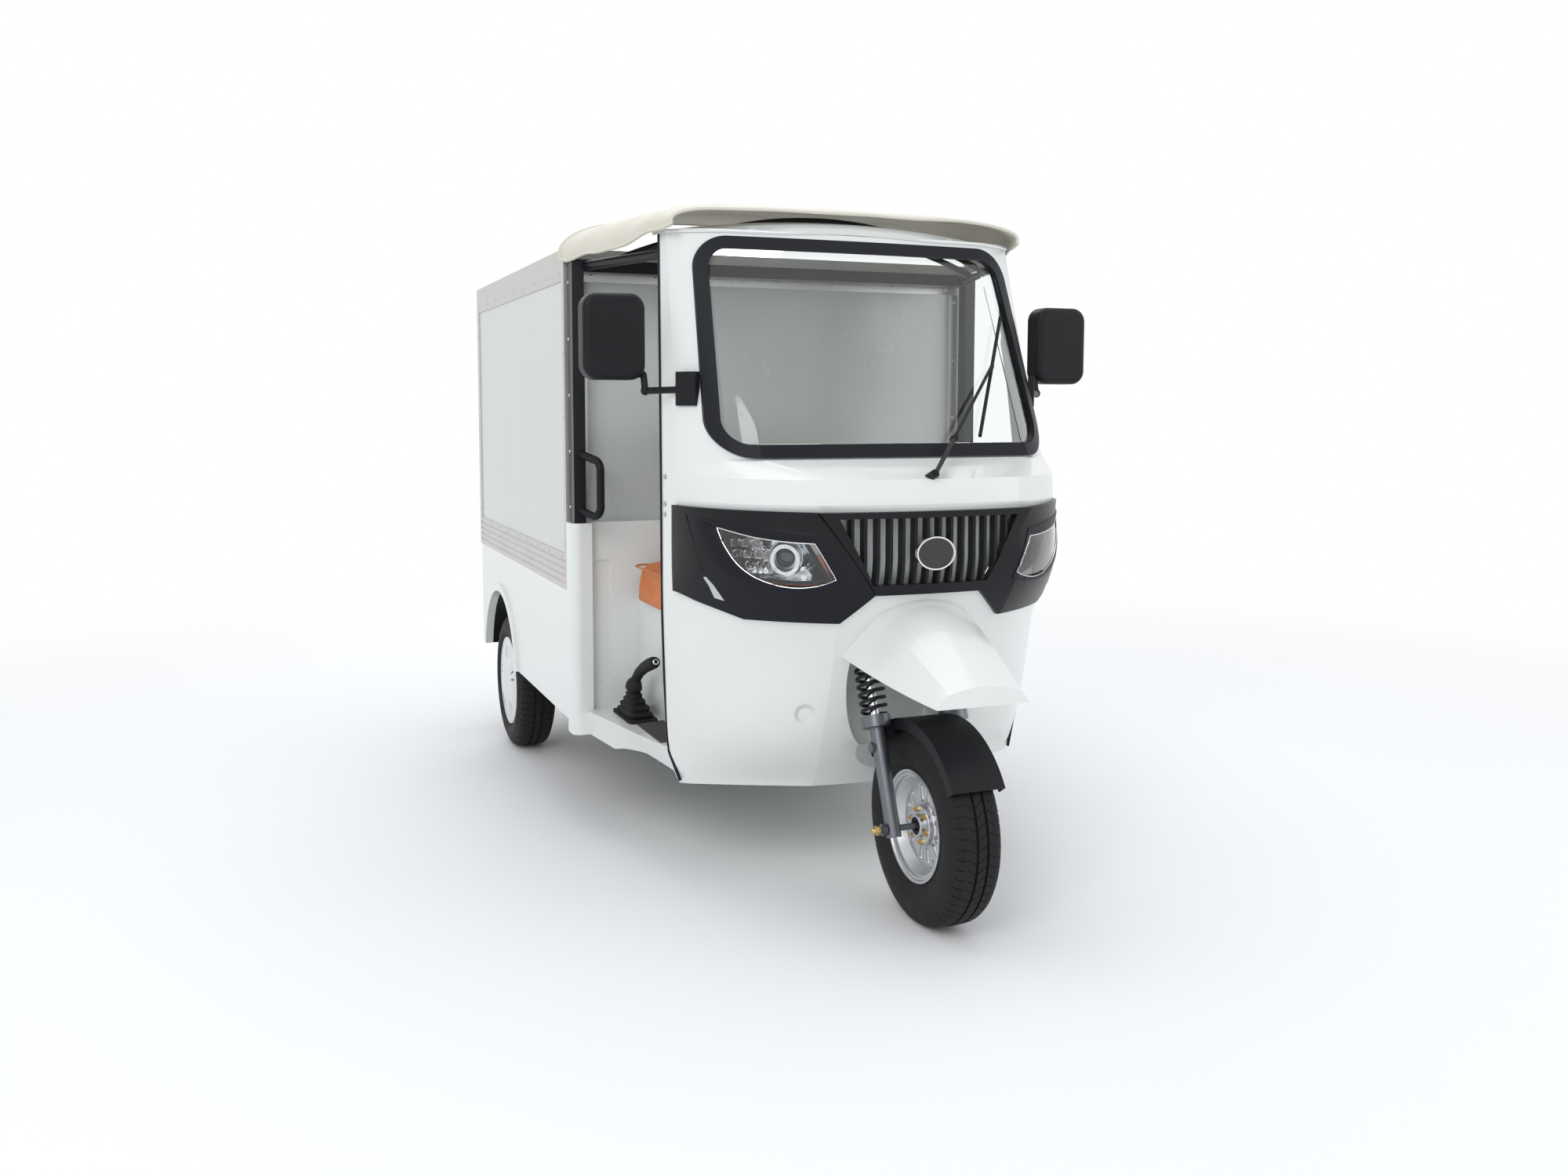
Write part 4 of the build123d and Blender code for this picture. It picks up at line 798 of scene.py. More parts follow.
def rivet_tree():
    """Rivet heads at even steps along the edges of a mesh, facing its 'facing' attribute."""
    tree, given = new_tree(
        "Rivet rows", "GeometryNodeTree", ("Geometry",), Geometry="Geometry", Spacing=0.165, Radius=0.0055,
        Height=0.5, Seed=3, Material="Material"
    )
    rows = add_node(tree, "GeometryNodeMeshToCurve", given["Geometry"])
    steps = add_node(tree, "GeometryNodeResampleCurve", how={"mode": "LENGTH"}, Curve=rows.outputs[0],
                     Length=given["Spacing"])
    head = add_node(tree, "GeometryNodeMeshUVSphere", Segments=12, Rings=6, Radius=given["Radius"])
    squash = add_node(tree, "CombineXYZ", 1.0, 1.0, given["Height"])
    flat = add_node(tree, "GeometryNodeTransform", Geometry=head.outputs["Mesh"], Scale=squash.outputs[0])
    vector = {"data_type": "FLOAT_VECTOR"}
    facing = add_node(tree, "GeometryNodeInputNamedAttribute", how=vector, Name="facing")
    turn = add_node(tree, "FunctionNodeAlignRotationToVector", how={"axis": "Z"},
                    Vector=facing.outputs["Attribute"])
    spin = add_node(tree, "FunctionNodeRandomValue", how={"data_type": "FLOAT"}, Seed=given["Seed"])
    twist = add_node(tree, "FunctionNodeAxisAngleToRotation", Angle=spin.outputs[1])
    twisted = add_node(tree, "FunctionNodeRotateRotation", how={"rotation_space": "LOCAL"},
                       Rotation=turn.outputs["Rotation"], Rotate_By=twist.outputs["Rotation"])
    place = add_node(tree, "GeometryNodeInstanceOnPoints", Points=steps.outputs["Curve"],
                     Instance=flat.outputs["Geometry"], Rotation=twisted.outputs["Rotation"])
    return coated_tree(tree, given, place.outputs["Instances"])


def wheel_tree():
    """One slice of a wheel repeated round the X axis and welded together."""
    tree, given = new_tree(
        "Slices round a wheel", "GeometryNodeTree", ("Geometry",), Geometry="Geometry", Slices=60,
        Weld=0.00005, Seed=1, Material="Material"
    )
    line = add_node(tree, "GeometryNodeMeshLine", Count=given["Slices"], Offset=(0.0, 0.0, 0.0))
    step = worked(tree, "DIVIDE", FULL_TURN, given["Slices"])
    angle = worked(tree, "MULTIPLY", add_node(tree, "GeometryNodeInputIndex").outputs[0], step)
    turn = add_node(tree, "CombineXYZ", angle)
    place = add_node(tree, "GeometryNodeInstanceOnPoints", Points=line.outputs["Mesh"],
                     Instance=given["Geometry"], Rotation=turn.outputs[0])
    real = add_node(tree, "GeometryNodeRealizeInstances", Geometry=place.outputs["Instances"])
    weld = add_node(tree, "GeometryNodeMergeByDistance", Geometry=real.outputs[0], Distance=given["Weld"])
    return coated_tree(tree, given, weld.outputs["Geometry"])


def row_mesh(rows):
    """A mesh of separate rows, each a start, an end and the way its heads face."""
    places, edges, ways = [], [], []
    for start, end, facing in rows:
        edges.append((len(places), len(places) + 1))
        places += [start, end]
        ways += [*facing, *facing]
    mesh = bpy.data.meshes.new("rows")
    mesh.from_pydata(places, edges, [])
    mesh.attributes.new("facing", "FLOAT_VECTOR", "POINT").data.foreach_set("vector", ways)
    return mesh


# Tyres
CROWN_FALL = 0.002


def tyre_side(radius, width, bead_r):
    """The outside of one half of a tyre's section, from the bead to the crown, and the crown's edge."""
    half = width / 2
    shoulder = 0.2 * width
    wall = bead_r + 0.52 * (radius - bead_r)
    wall_end = (half - 0.25 * shoulder, radius - shoulder)
    edge = (half - 1.3 * shoulder, radius - CROWN_FALL)
    points = arc_points((0.39 * width, bead_r + 0.017), (half, wall), wall_end, 12)
    points += arc_points(wall_end, (half - 0.6 * shoulder, radius - 0.3 * shoulder), edge, 6)[1:]
    return points, edge[0]


def tread_section(radius, width, bead_r, grooves, settings):
    """A tyre's outer section as x, radius and kind, from one bead to the other."""
    side, edge = tyre_side(radius, width, bead_r)
    lips = [groove + way * settings.groove / 2 for groove in grooves for way in (-1, 1)]
    lips.sort(reverse=True)
    tread = []
    for a, b in zip([edge, *lips], [*lips, -edge]):
        inside = any(abs((a + b) / 2 - groove) < 1e-6 for groove in grooves)
        depth, margin = (settings.depth, 0.0004) if inside else (0.0, 0.0)
        for step in range(4):
            x = a - margin + (b - a + 2 * margin) * step / 3
            tread.append((x, radius - CROWN_FALL * (x / edge) ** 2 - depth, "groove" if inside else "rib"))
    left = [(0.39 * width, bead_r, "bead")] + [(x, r, "wall") for x, r in side]
    return left + tread[1:-1] + [(-x, r, kind) for x, r, kind in reversed(left)]


def tread_slice(radius, width, bead_r, grooves, settings):
    """One pitch of a tyre, with its ribs, grooves and cross cuts."""
    section = tread_section(radius, width, bead_r, grooves, settings)
    pitch = FULL_TURN / settings.pitches
    cut_from, cut_to, slope = 0.40, 0.50, 0.012
    deep = {cut_from + slope, cut_to - slope}
    outer_rib = max(abs(groove) for groove in grooves) + settings.groove / 2
    form = bmesh.new()
    rings = []
    for turn in (0.0, 0.2, cut_from, cut_from + slope, cut_to - slope, cut_to, 0.75, 1.0):
        ring = []
        for x, r, kind in section:
            lowered = r
            angle = pitch * turn
            near_shoulder = kind == "wall" and r > radius - 0.16 * width
            if turn in deep and (near_shoulder or (kind == "rib" and abs(x) > outer_rib)):
                lowered = r - settings.cut
            elif turn in deep and kind == "rib":
                lowered = r - 0.5 * settings.cut
            if kind == "rib" and abs(x) <= outer_rib:
                angle += pitch * 0.35 * math.sin(2 * FULL_TURN * x / width)
            ring.append(form.verts.new((x, lowered * math.sin(angle), lowered * math.cos(angle))))
        rings.append(ring)
    for first, second in zip(rings, rings[1:]):
        for index in range(len(section)):
            after = (index + 1) % len(section)
            form.faces.new((first[index], second[index], second[after], first[after]))
    return mesh_of(form)


# Operators
def settings_of(context):
    return context.scene.tricycle


class FinishSolids(bpy.types.Operator):
    """Give every solid of the frame its finish"""

    bl_idname = "tricycle.finish_solids"
    bl_label = "Finish the solids"

    def execute(self, context):
        make_finishes(settings_of(context).paint)
        finish_of = {name: finish for finish, names in NODE_FINISHES.items() for name in names}
        missing = set(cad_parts) - set(finish_of)
        if missing:
            raise RuntimeError(f"no finish for {sorted(missing)}")
        for name, finish in finish_of.items():
            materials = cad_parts[name].data.materials
            materials.clear()
            materials.append(FINISHES[finish])
        return {"FINISHED"}


class MakeTyres(bpy.types.Operator):
    """Replace the plain tyres with treaded ones"""

    bl_idname = "tricycle.make_tyres"
    bl_label = "Treaded tyres"

    # Radius, width, bead radius and groove places
    FRONT = (0.252, 0.135, 0.127, (-0.040, -0.014, 0.014, 0.040))
    REAR = (0.254, 0.145, 0.152, (-0.042, -0.014, 0.014, 0.042))

    def execute(self, context):
        settings = settings_of(context).tread
        tree = wheel_tree()
        for place, size in (("front", self.FRONT), ("rear_left", self.REAR), ("rear_right", self.REAR)):
            end, _, side = place.partition("_")
            node = "_".join(filter(None, (end, "tyre", side)))
            body = "_".join(filter(None, (end, "wheel", side)))
            mesh = run_tree(
                tread_slice(*size, settings), tree, Slices=settings.pitches, Weld=0.00005, Seed=1,
                Material=FINISHES["tyre"])
            mesh.transform(Matrix.Translation(middle(node)))
            add_piece(f"{node}_treaded", mesh, "tyre", body, 35.0, node)
        return {"FINISHED"}


class MakeFrontWheel(bpy.types.Operator):
    """Cast the front wheel with windows in its web, and turn its flanged hub"""

    bl_idname = "tricycle.make_front_wheel"
    bl_label = "Front wheel"

    # Radius and place along the axle, from the near lip round to it again
    BARREL = (
        (0.142, -0.0577), (0.142, -0.053), (0.127, -0.053), (0.1265, -0.043), (0.109, -0.0216),
        (0.109, 0.0216), (0.1265, 0.043), (0.127, 0.053), (0.142, 0.053), (0.142, 0.0577), (0.136, 0.0577),
        (0.1335, 0.0545), (0.1335, 0.049), (0.1275, 0.046), (0.122, 0.046), (0.1195, 0.043),
        (0.104, 0.0236), (0.104, -0.0236), (0.1195, -0.043), (0.122, -0.046), (0.1275, -0.046),
        (0.1335, -0.049), (0.1335, -0.0545), (0.136, -0.0577),
    )
    WEB = (
        (0.030, -0.026), (0.056, -0.026), (0.060, -0.022), (0.1055, -0.022),
        (0.1055, -0.014), (0.060, -0.014), (0.056, -0.010), (0.030, -0.010),
    )
    HUB = (
        (0.009, -0.040), (0.0225, -0.040), (0.0225, -0.049), (0.0275, -0.049), (0.0295, -0.047),
        (0.0295, -0.038), (0.050, -0.037), (0.052, -0.035), (0.052, -0.0265), (0.0295, -0.0265),
        (0.0295, 0.044), (0.0265, 0.048), (0.0225, 0.048), (0.0225, 0.040), (0.009, 0.040),
    )
    SEAL = ((0.0125, -0.0405), (0.0125, -0.0465), (0.0222, -0.0475), (0.0222, -0.0405))
    WINDOWS = 6

    def cutters(self, axis):
        """Pairs of slots round the web, with a round hole between the pairs."""
        form = bmesh.new()
        slot = rounded_outline(0.0185, 0.044, 0.0092)
        hole = rounded_outline(0.012, 0.012, 0.0059)
        for count in range(self.WINDOWS):
            turn = FULL_TURN * count / self.WINDOWS
            half = math.pi / self.WINDOWS
            for offset, out, outline in ((-0.215, 0.079, slot), (0.215, 0.079, slot), (half, 0.096, hole)):
                spot = Matrix.Rotation(turn + offset, 4, "Z") @ Matrix.Translation((0.0, out, -0.04))
                prism(form, outline, axis @ spot, 0.05)
        return mesh_of(form)

    def execute(self, context):
        axis = aimed(middle("front_tyre"), (1, 0, 0))
        disc = linked("disc", mesh_of(turned(self.WEB, axis, 96)))
        tool = linked("tool", self.cutters(axis))
        cut = disc.modifiers.new("Windows", "BOOLEAN")
        cut.object = tool
        cut.solver = "EXACT"
        soften = disc.modifiers.new("Edges", "BEVEL")
        soften.width = 0.0012
        soften.segments = 2
        soften.limit_method = "ANGLE"
        soften.angle_limit = math.radians(50)
        pierced = evaluated_mesh(disc)
        for made in (disc, tool):
            bpy.data.objects.remove(made)
        cast = joined(turned(self.BARREL, axis, 96), pierced)
        add_piece("front_rim_cast", cast, "cast", "front_wheel", 32.0, "front_rim")
        hub = turned(self.HUB, axis, 64)
        add_piece("front_hub_turned", hub, "satin", "front_wheel", 32.0, "front_hub")
        add_piece("front_hub_seal", turned(self.SEAL, axis, 40), "rubber", "front_wheel")
        return {"FINISHED"}


class MakeCushion(bpy.types.Operator):
    """Swell the seat cushion's cover by a short cloth simulation and add its welt"""

    bl_idname = "tricycle.make_cushion"
    bl_label = "Seat cushion"

    ROOM = 0.014  # what the block leaves for the cover's crown
    CROWN = 0.008

    def execute(self, context):
        soft = settings_of(context).soft
        low, high = corners("seat_cushion")
        size = high - low
        centre = (low + high) / 2
        form = bmesh.new()
        place = Matrix.Translation((centre.x, centre.y, low.z + 0.0005))
        outline = rounded_outline(size.x - 0.016, size.y - 0.016, 0.036, 8)
        prism(form, outline, place, size.z - self.ROOM, bevel=0.02)
        block = linked("cushion_block", mesh_of(form))
        remesh = block.modifiers.new("Voxels", "REMESH")
        remesh.mode = "VOXEL"
        remesh.voxel_size = soft.cushion_voxel
        cover = linked("seat_cushion_cover", evaluated_mesh(block))
        bpy.data.objects.remove(block)
        self.swell(context, cover, soft.cushion_swell, low.z)
        for vertex in cover.data.vertices:
            share = (vertex.co.z - low.z) / size.z
            along = 1 - ((vertex.co.x - centre.x) / (size.x / 2)) ** 2
            deep = 1 - ((vertex.co.y - centre.y) / (size.y / 2)) ** 2
            vertex.co.z += self.CROWN * max(share, 0) * max(along, 0) ** 0.5 * max(deep, 0) ** 0.5
        smooth = cover.modifiers.new("Finer", "SUBSURF")
        smooth.levels = smooth.render_levels = 1
        finished = evaluated_mesh(cover)
        bpy.data.objects.remove(cover)
        piece = add_piece("seat_cushion_cover", finished, "seat", "body", 0, "seat_cushion")
        rim = rounded_outline(size.x - 0.004, size.y - 0.004, 0.04, 8)
        line = [(centre.x + x, centre.y + y, high.z - self.ROOM) for x, y in rim]
        add_piece("seat_cushion_welt", pipe(line, soft.welt, cyclic=True), "seat")
        return {"FINISHED"}

    def swell(self, context, cover, most, floor):
        """Blows the cover up a little under pressure, with its base held."""
        vertices = cover.data.vertices
        rest = [vertex.co.copy() for vertex in vertices]
        held = [vertex.index for vertex in vertices if vertex.co.z < floor + 0.012]
        cover.vertex_groups.new(name="base").add(held, 1.0, "REPLACE")
        cloth = cover.modifiers.new("Cover", "CLOTH")
        cloth.settings.use_pressure = True
        cloth.settings.uniform_pressure_force = 4.0
        cloth.settings.vertex_group_mass = "base"
        cloth.settings.effector_weights.gravity = 0.0
        context.view_layer.update()
        for number in range(1, 21):
            context.scene.frame_set(number)
        moved = evaluated_mesh(cover)
        cover.modifiers.remove(cloth)
        context.scene.frame_set(1)
        for vertex, start, swollen in zip(cover.data.vertices, rest, moved.vertices):
            shift = swollen.co - start
            if shift.length > most:
                shift = shift.normalized() * most
            vertex.co = start + shift
        bpy.data.meshes.remove(moved)


class MakeCanopy(bpy.types.Operator):
    """Stretch the canvas canopy over its hoops, with rolled hems"""

    bl_idname = "tricycle.make_canopy"
    bl_label = "Canopy"

    # Station behind the front axle, half width, lower edge height, crown height
    ROWS = (
        (0.500, 0.528, 1.780, 1.836),
        (0.522, 0.534, 1.779, 1.842),
        (0.595, 0.560, 1.775, 1.860),
        (0.680, 0.586, 1.758, 1.871),
        (0.775, 0.612, 1.743, 1.873),
        (0.910, 0.650, 1.744, 1.873),
        (1.000, 0.674, 1.739, 1.873),
        (1.045, 0.686, 1.737, 1.872),
        (1.092, 0.694, 1.744, 1.869),
    )
    ACROSS = 72
    FINE = 5
    HEM_DROP = 0.014
    THICKNESS = 0.0016

    def section(self, row):
        """Points of one cross-section from the right hem to the left one."""
        y, half, edge, crown = row
        shoulder = edge + self.HEM_DROP
        points = [station(-half, y, edge)]
        for count in range(self.ACROSS + 1):
            share = math.sin(math.pi / 2 * (2 * count / self.ACROSS - 1))
            rise = (crown - shoulder) * (1 - abs(share) ** 5) ** 0.5
            points.append(station(half * share, y, shoulder + rise))
        return points + [station(half, y, edge)]

    def creased(self, point, half):
        """A point with the cloth's ripples and the pull at its edges added."""
        near_edge = max(0.0, abs(point.x) / half - 0.75) * 4
        ripple = 0.0018 * math.sin(19 * point.x + 7 * point.y) * math.sin(17 * point.y + 3 * point.x)
        pull = 0.0022 * math.sin(38 * point.y + 9 * abs(point.x)) * near_edge
        return point.x, point.y, point.z + ripple + pull

    def execute(self, context):
        rows = []
        for first, second in zip(self.ROWS, self.ROWS[1:]):
            for step in range(self.FINE):
                rows.append(tuple(a + (b - a) * step / self.FINE for a, b in zip(first, second)))
        rows.append(self.ROWS[-1])
        grid = [[self.creased(point, row[1]) for point in self.section(row)] for row in rows]
        form = bmesh.new()
        lines = [[form.verts.new(place) for place in line] for line in grid]
        for first, second in zip(lines, lines[1:]):
            for index in range(len(first) - 1):
                form.faces.new((first[index], first[index + 1], second[index + 1], second[index]))
        mesh = mesh_of(form)
        sheet = linked("canopy_canvas", mesh)
        thick = sheet.modifiers.new("Cloth", "SOLIDIFY")
        thick.thickness = self.THICKNESS
        thick.offset = -1.0
        finished = evaluated_mesh(sheet)
        bpy.data.objects.remove(sheet)
        piece = add_piece("canopy_canvas", finished, "canvas", "body", 60.0, "canopy")
        edges = (grid[0], grid[-1], [line[0] for line in grid], [line[-1] for line in grid])
        bars = joined(*(pipe(points, settings_of(context).soft.hem) for points in edges))
        edging = add_piece("canopy_hems", bars, "canvas")
        return {"FINISHED"}


class MakeRivets(bpy.types.Operator):
    """Rivet the load box's frame and screw the cab's pillars"""

    bl_idname = "tricycle.make_rivets"
    bl_label = "Rivets and screws"

    SCREW_HEIGHTS = (1.118, 1.046, 1.018)

    def rows(self):
        """Where the rivets run: along the rails, up the posts and across both headers."""
        low, high = corners("cargo_frame")
        front, rear, side = low.y, high.y, high.x
        rows = []
        for way in (1, -1):
            lines = (
                (front + 0.06, high.z - 0.07, rear - 0.06, high.z - 0.07),
                (front + 0.06, low.z + 0.1, rear - 0.06, low.z + 0.1),
                (front + 0.016, low.z + 0.14, front + 0.016, high.z - 0.12),
                (rear - 0.022, low.z + 0.14, rear - 0.022, high.z - 0.12),
            )
            for y0, z0, y1, z1 in lines:
                rows.append(((way * side, y0, z0), (way * side, y1, z1), (way, 0, 0)))
        inner, top = side - 0.05, high.z - 0.03
        rows.append(((-inner, front, top), (inner, front, top), (0, -1, 0)))
        for x in (0.016 - side, side - 0.016):
            rows.append(((x, front, 1.0), (x, front, high.z - 0.1), (0, -1, 0)))
        rows.append(((-inner, rear, top), (inner, rear, top), (0, 1, 0)))
        return rows

    def execute(self, context):
        settings = settings_of(context).fasteners
        heads = run_tree(row_mesh(self.rows()), rivet_tree(), Spacing=settings.rivet_spacing,
                         Radius=settings.rivet_radius, Height=0.45, Seed=3, Material=FINISHES["zinc"])
        add_piece("box_rivets", heads, "zinc")
        radius = settings.screw_radius
        profile = [(0.0, 0.0), (radius, 0.0), (radius, 0.0015), (0.6 * radius, 0.0036), (0.0, 0.004)]
        form = bmesh.new()
        for side in (-1, 1):
            for z in self.SCREW_HEIGHTS:
                lathe(form, profile, aimed(station(side * 0.5565, 0.478, z), (side, 0, 0)), 20)
        add_piece("pillar_screws", form, "zinc")
        return {"FINISHED"}


class MakeWallTrim(bpy.types.Operator):
    """Edge the load box's front wall with screwed angle strips"""

    bl_idname = "tricycle.make_wall_trim"
    bl_label = "Front wall trim"

    STRIP = 0.036

    def execute(self, context):
        low, high = corners("cargo_front_wall")
        face = low.y - 0.0004
        form = bmesh.new()
        for x0, x1, z0, z1 in (
            (low.x, high.x, high.z - self.STRIP, high.z),
            (low.x, low.x + self.STRIP, low.z, high.z - self.STRIP),
            (high.x - self.STRIP, high.x, low.z, high.z - self.STRIP),
        ):
            place = aimed(((x0 + x1) / 2, face, (z0 + z1) / 2), (0, -1, 0))
            prism(form, rounded_outline(x1 - x0, z1 - z0, 0.001, 1), place, 0.0016, bevel=0.0006)
        add_piece("wall_strips", form, "alloy")
        face -= 0.0014
        top = high.z - self.STRIP / 2
        rows = [((low.x + 0.05, face, top), (high.x - 0.05, face, top), (0, -1, 0))]
        for x in (low.x + self.STRIP / 2, high.x - self.STRIP / 2):
            rows.append(((x, face, low.z + 0.3), (x, face, high.z - 0.06), (0, -1, 0)))
        heads = run_tree(row_mesh(rows), rivet_tree(), Spacing=0.19, Radius=0.006, Height=0.4, Seed=5,
                         Material=FINISHES["zinc"])
        add_piece("wall_screws", heads, "zinc")
        return {"FINISHED"}


class MakeEdging(bpy.types.Operator):
    """Add the black trim along both door edges"""

    bl_idname = "tricycle.make_edging"
    bl_label = "Door edging"

    # x, station and height along the left door edge, from the sill to the roof
    DOOR_EDGE = (
        (0.514, 0.486, 0.290), (0.541, 0.502, 0.372), (0.551, 0.503, 0.560), (0.556, 0.503, 0.740),
        (0.557, 0.503, 0.930), (0.557, 0.503, 1.063), (0.556, 0.507, 1.125), (0.555, 0.511, 1.172),
        (0.543, 0.556, 1.474), (0.531, 0.600, 1.770),
    )

    def execute(self, context):
        bars = []
        for side in (-1, 1):
            line = [station(side * (x + 0.0005), y, z) for x, y, z in self.DOOR_EDGE]
            bars.append(pipe(line, 0.0045, smooth=False))
        add_piece("door_edging", joined(*bars), "seal")
        return {"FINISHED"}


class MakeLampDetail(bpy.types.Operator):
    """Add each headlamp's bezel, bright frame, projector and cups, and the lamp bands' crease and slash"""

    bl_idname = "tricycle.make_lamp_detail"
    bl_label = "Headlamp detail"

    # The left lamp from the front: bezel x and z, bright frame x and z, corner, fluted
    OUTLINE = (
        (0.296, 0.991, 0.305, 0.970, True, False),
        (0.372, 1.003, 0.362, 0.973, False, False),
        (0.464, 1.014, 0.432, 0.983, False, False),
        (0.533, 1.022, 0.4965, 1.002, True, True),
        (0.526, 0.972, 0.486, 0.962, False, True),
        (0.505, 0.919, 0.464, 0.918, False, True),
        (0.464, 0.879, 0.431, 0.886, False, True),
        (0.404, 0.855, 0.385, 0.866, False, False),
        (0.345, 0.847, 0.336, 0.860, False, False),
        (0.285, 0.852, 0.285, 0.868, False, False),
        (0.243, 0.862, 0.256, 0.881, True, False),
    )
    PROJECTOR = (0.062, 0.929)
    CUP_ROWS = (0.958, 0.930, 0.902)
    # Profiles as radius and distance in front of the lamp's plane
    CUP = ((0.0, 0.001), (0.005, 0.0018), (0.0098, 0.0056), (0.0125, 0.014), (0.0136, 0.014), (0.0136, 0.0))
    DIODE = ((0.0, 0.0095), (0.0026, 0.009), (0.0042, 0.0068), (0.0042, 0.002))
    EYE = ((0.0, 0.001), (0.010, -0.0004), (0.018, -0.004), (0.0245, -0.011), (0.0245, -0.02), (0.0, -0.02))
    RING = (
        (0.0252, -0.014), (0.0256, -0.004), (0.0275, -0.002), (0.0395, -0.0045), (0.0415, -0.007),
        (0.0415, -0.02), (0.0252, -0.02),
    )
    RIM = (
        (0.0418, -0.012), (0.044, -0.012), (0.0455, -0.009), (0.0468, -0.012), (0.0468, -0.04),
        (0.0418, -0.04),
    )
    # Height and station of points on the band: its crease, and the corners of the bright slash below it
    CREASE = ((1.030, 0.331), (0.982, 0.310), (0.934, 0.286), (0.885, 0.269))
    SLASH = (
        ((0.873, 0.269), (0.875, 0.2605)), ((0.851, 0.2575), (0.8545, 0.2435)),
        ((0.821, 0.2535), (0.8155, 0.2305)),
    )

    def outline_points(self, fine):
        """The outline's points, smooth between its corners."""
        count = len(self.OUTLINE)
        rows = []
        for index in range(count):
            before, here, after, beyond = (self.OUTLINE[(index + step) % count] for step in (-1, 0, 1, 2))
            for step in range(fine):
                t = step / fine
                row = []
                for a, b, c, d in zip(before[:4], here[:4], after[:4], beyond[:4]):
                    start = 0.5 * (c - b) if here[4] else 0.5 * (c - a)
                    end = 0.5 * (c - b) if after[4] else 0.5 * (d - b)
                    rise = 3 * (c - b) - 2 * start - end
                    turn = 2 * (b - c) + start + end
                    row.append(b + start * t + rise * t * t + turn * t ** 3)
                rows.append((*row, here[5]))
        return rows

    def inside(self, x, z, margin):
        """Whether a point seen from the front lies within the bright frame by a margin."""
        points = [row[2:4] for row in self.OUTLINE]
        for (ax, az), (bx, bz) in zip(points, points[1:] + points[:1]):
            cross = (bx - ax) * (z - az) - (bz - az) * (x - ax)
            if cross / math.hypot(bx - ax, bz - az) > -margin:
                return False
        return True

    def lamp_place(self, along, depth, height):
        """A point of the lamp's own plane on the left side."""
        x = LAMP_FACE[0] + along * math.cos(LAMP_SWEEP) - depth * math.sin(LAMP_SWEEP)
        y = LAMP_FACE[1] + along * math.sin(LAMP_SWEEP) + depth * math.cos(LAMP_SWEEP)
        return station(x, y, height)

    def bezel(self):
        """The black frame round the lens, fluted at its outer end, and the bright bead inside it."""
        skins = surface_of("lamp_bands", "headlamp_lenses", "lower_front_body")
        rows, inner = [], []
        for number, (bx, bz, fx, fz, fluted) in enumerate(self.outline_points(12)):
            outer, out_way = landed(skins, (bx, -2.0, bz), (0, 1, 0))
            edge, in_way = landed(skins, (fx, -2.0, fz), (0, 1, 0))
            top = (0.0008, 0.0036)[number % 2] if fluted else 0.0022
            rows.append((
                outer - 0.001 * out_way, outer + 0.0014 * out_way, outer.lerp(edge, 0.2) + 0.003 * out_way,
                outer.lerp(edge, 0.5) + top * out_way, edge + 0.0012 * in_way, edge - 0.002 * in_way,
            ))
            inner.append(edge + 0.0014 * in_way)
        add_piece("lamp_bezels", both_sides(skin(rows, closed=True)), "seal")
        bead = pipe(inner, 0.0013, cyclic=True, smooth=False, sides=1)
        add_piece("lamp_beads", both_sides(bead), "chrome")

    def cups(self, outward):
        """Rows of small reflector cups, each with its diode, and the shelves between the rows."""
        cups, diodes = bmesh.new(), bmesh.new()
        for row, height in enumerate(self.CUP_ROWS):
            for column in range(7):
                spot = self.lamp_place(0.118 + 0.0295 * column - 0.006 * row, 0.036, height)
                if self.inside(spot.x + 0.026, height, 0.013):
                    lathe(cups, self.CUP, aimed(spot, outward), 18)
                    lathe(diodes, self.DIODE, aimed(spot, outward), 12)
        lift = Vector((0.0, 0.0, 0.0014))
        for low, high in zip(self.CUP_ROWS[1:], self.CUP_ROWS):
            shelf = (low + high) / 2
            front, back = (
                [self.lamp_place(0.104, depth, shelf), self.lamp_place(0.236, depth, shelf + 0.006)]
                for depth in (0.02, 0.05)
            )
            skin([(a, b, b + lift, a + lift) for a, b in zip(front, back)], form=cups)
        add_piece("lamp_cups", both_sides(cups), "chrome")
        add_piece("lamp_bulbs", both_sides(diodes), "diode")

    def slash(self):
        """The raised crease on each flank band and the bright strip that ends it."""
        band = surface_of("lamp_bands")
        line = [landed(band, (2.0, y + CAB_Y, z), (-1, 0, 0), 0.0002)[0] for z, y in self.CREASE]
        add_piece("band_creases", both_sides(pipe(line, 0.0022)), "lamp")
        rows = []
        for pair in self.SLASH:
            near, far = (landed(band, (2.0, y + CAB_Y, z), (-1, 0, 0)) for z, y in pair)
            raised = ((near, -0.001), (near, 0.0016), (far, 0.0016), (far, -0.001))
            rows.append([place + lift * way for (place, way), lift in raised])
        add_piece("band_slashes", both_sides(skin(rows)), "satin")

    def execute(self, context):
        outward = Vector((math.sin(LAMP_SWEEP), -math.cos(LAMP_SWEEP), 0.0))
        self.bezel()
        self.cups(outward)
        axis = aimed(self.lamp_place(self.PROJECTOR[0], 0.004, self.PROJECTOR[1]), outward)
        eye = lathe(bmesh.new(), self.EYE, axis, 40)
        add_piece("projector_lenses", both_sides(eye), "eye")
        add_piece("projector_rings", both_sides(turned(self.RING, axis, 56)), "satin")
        add_piece("projector_rims", both_sides(turned(self.RIM, axis, 56)), "chrome")
        self.slash()
        return {"FINISHED"}


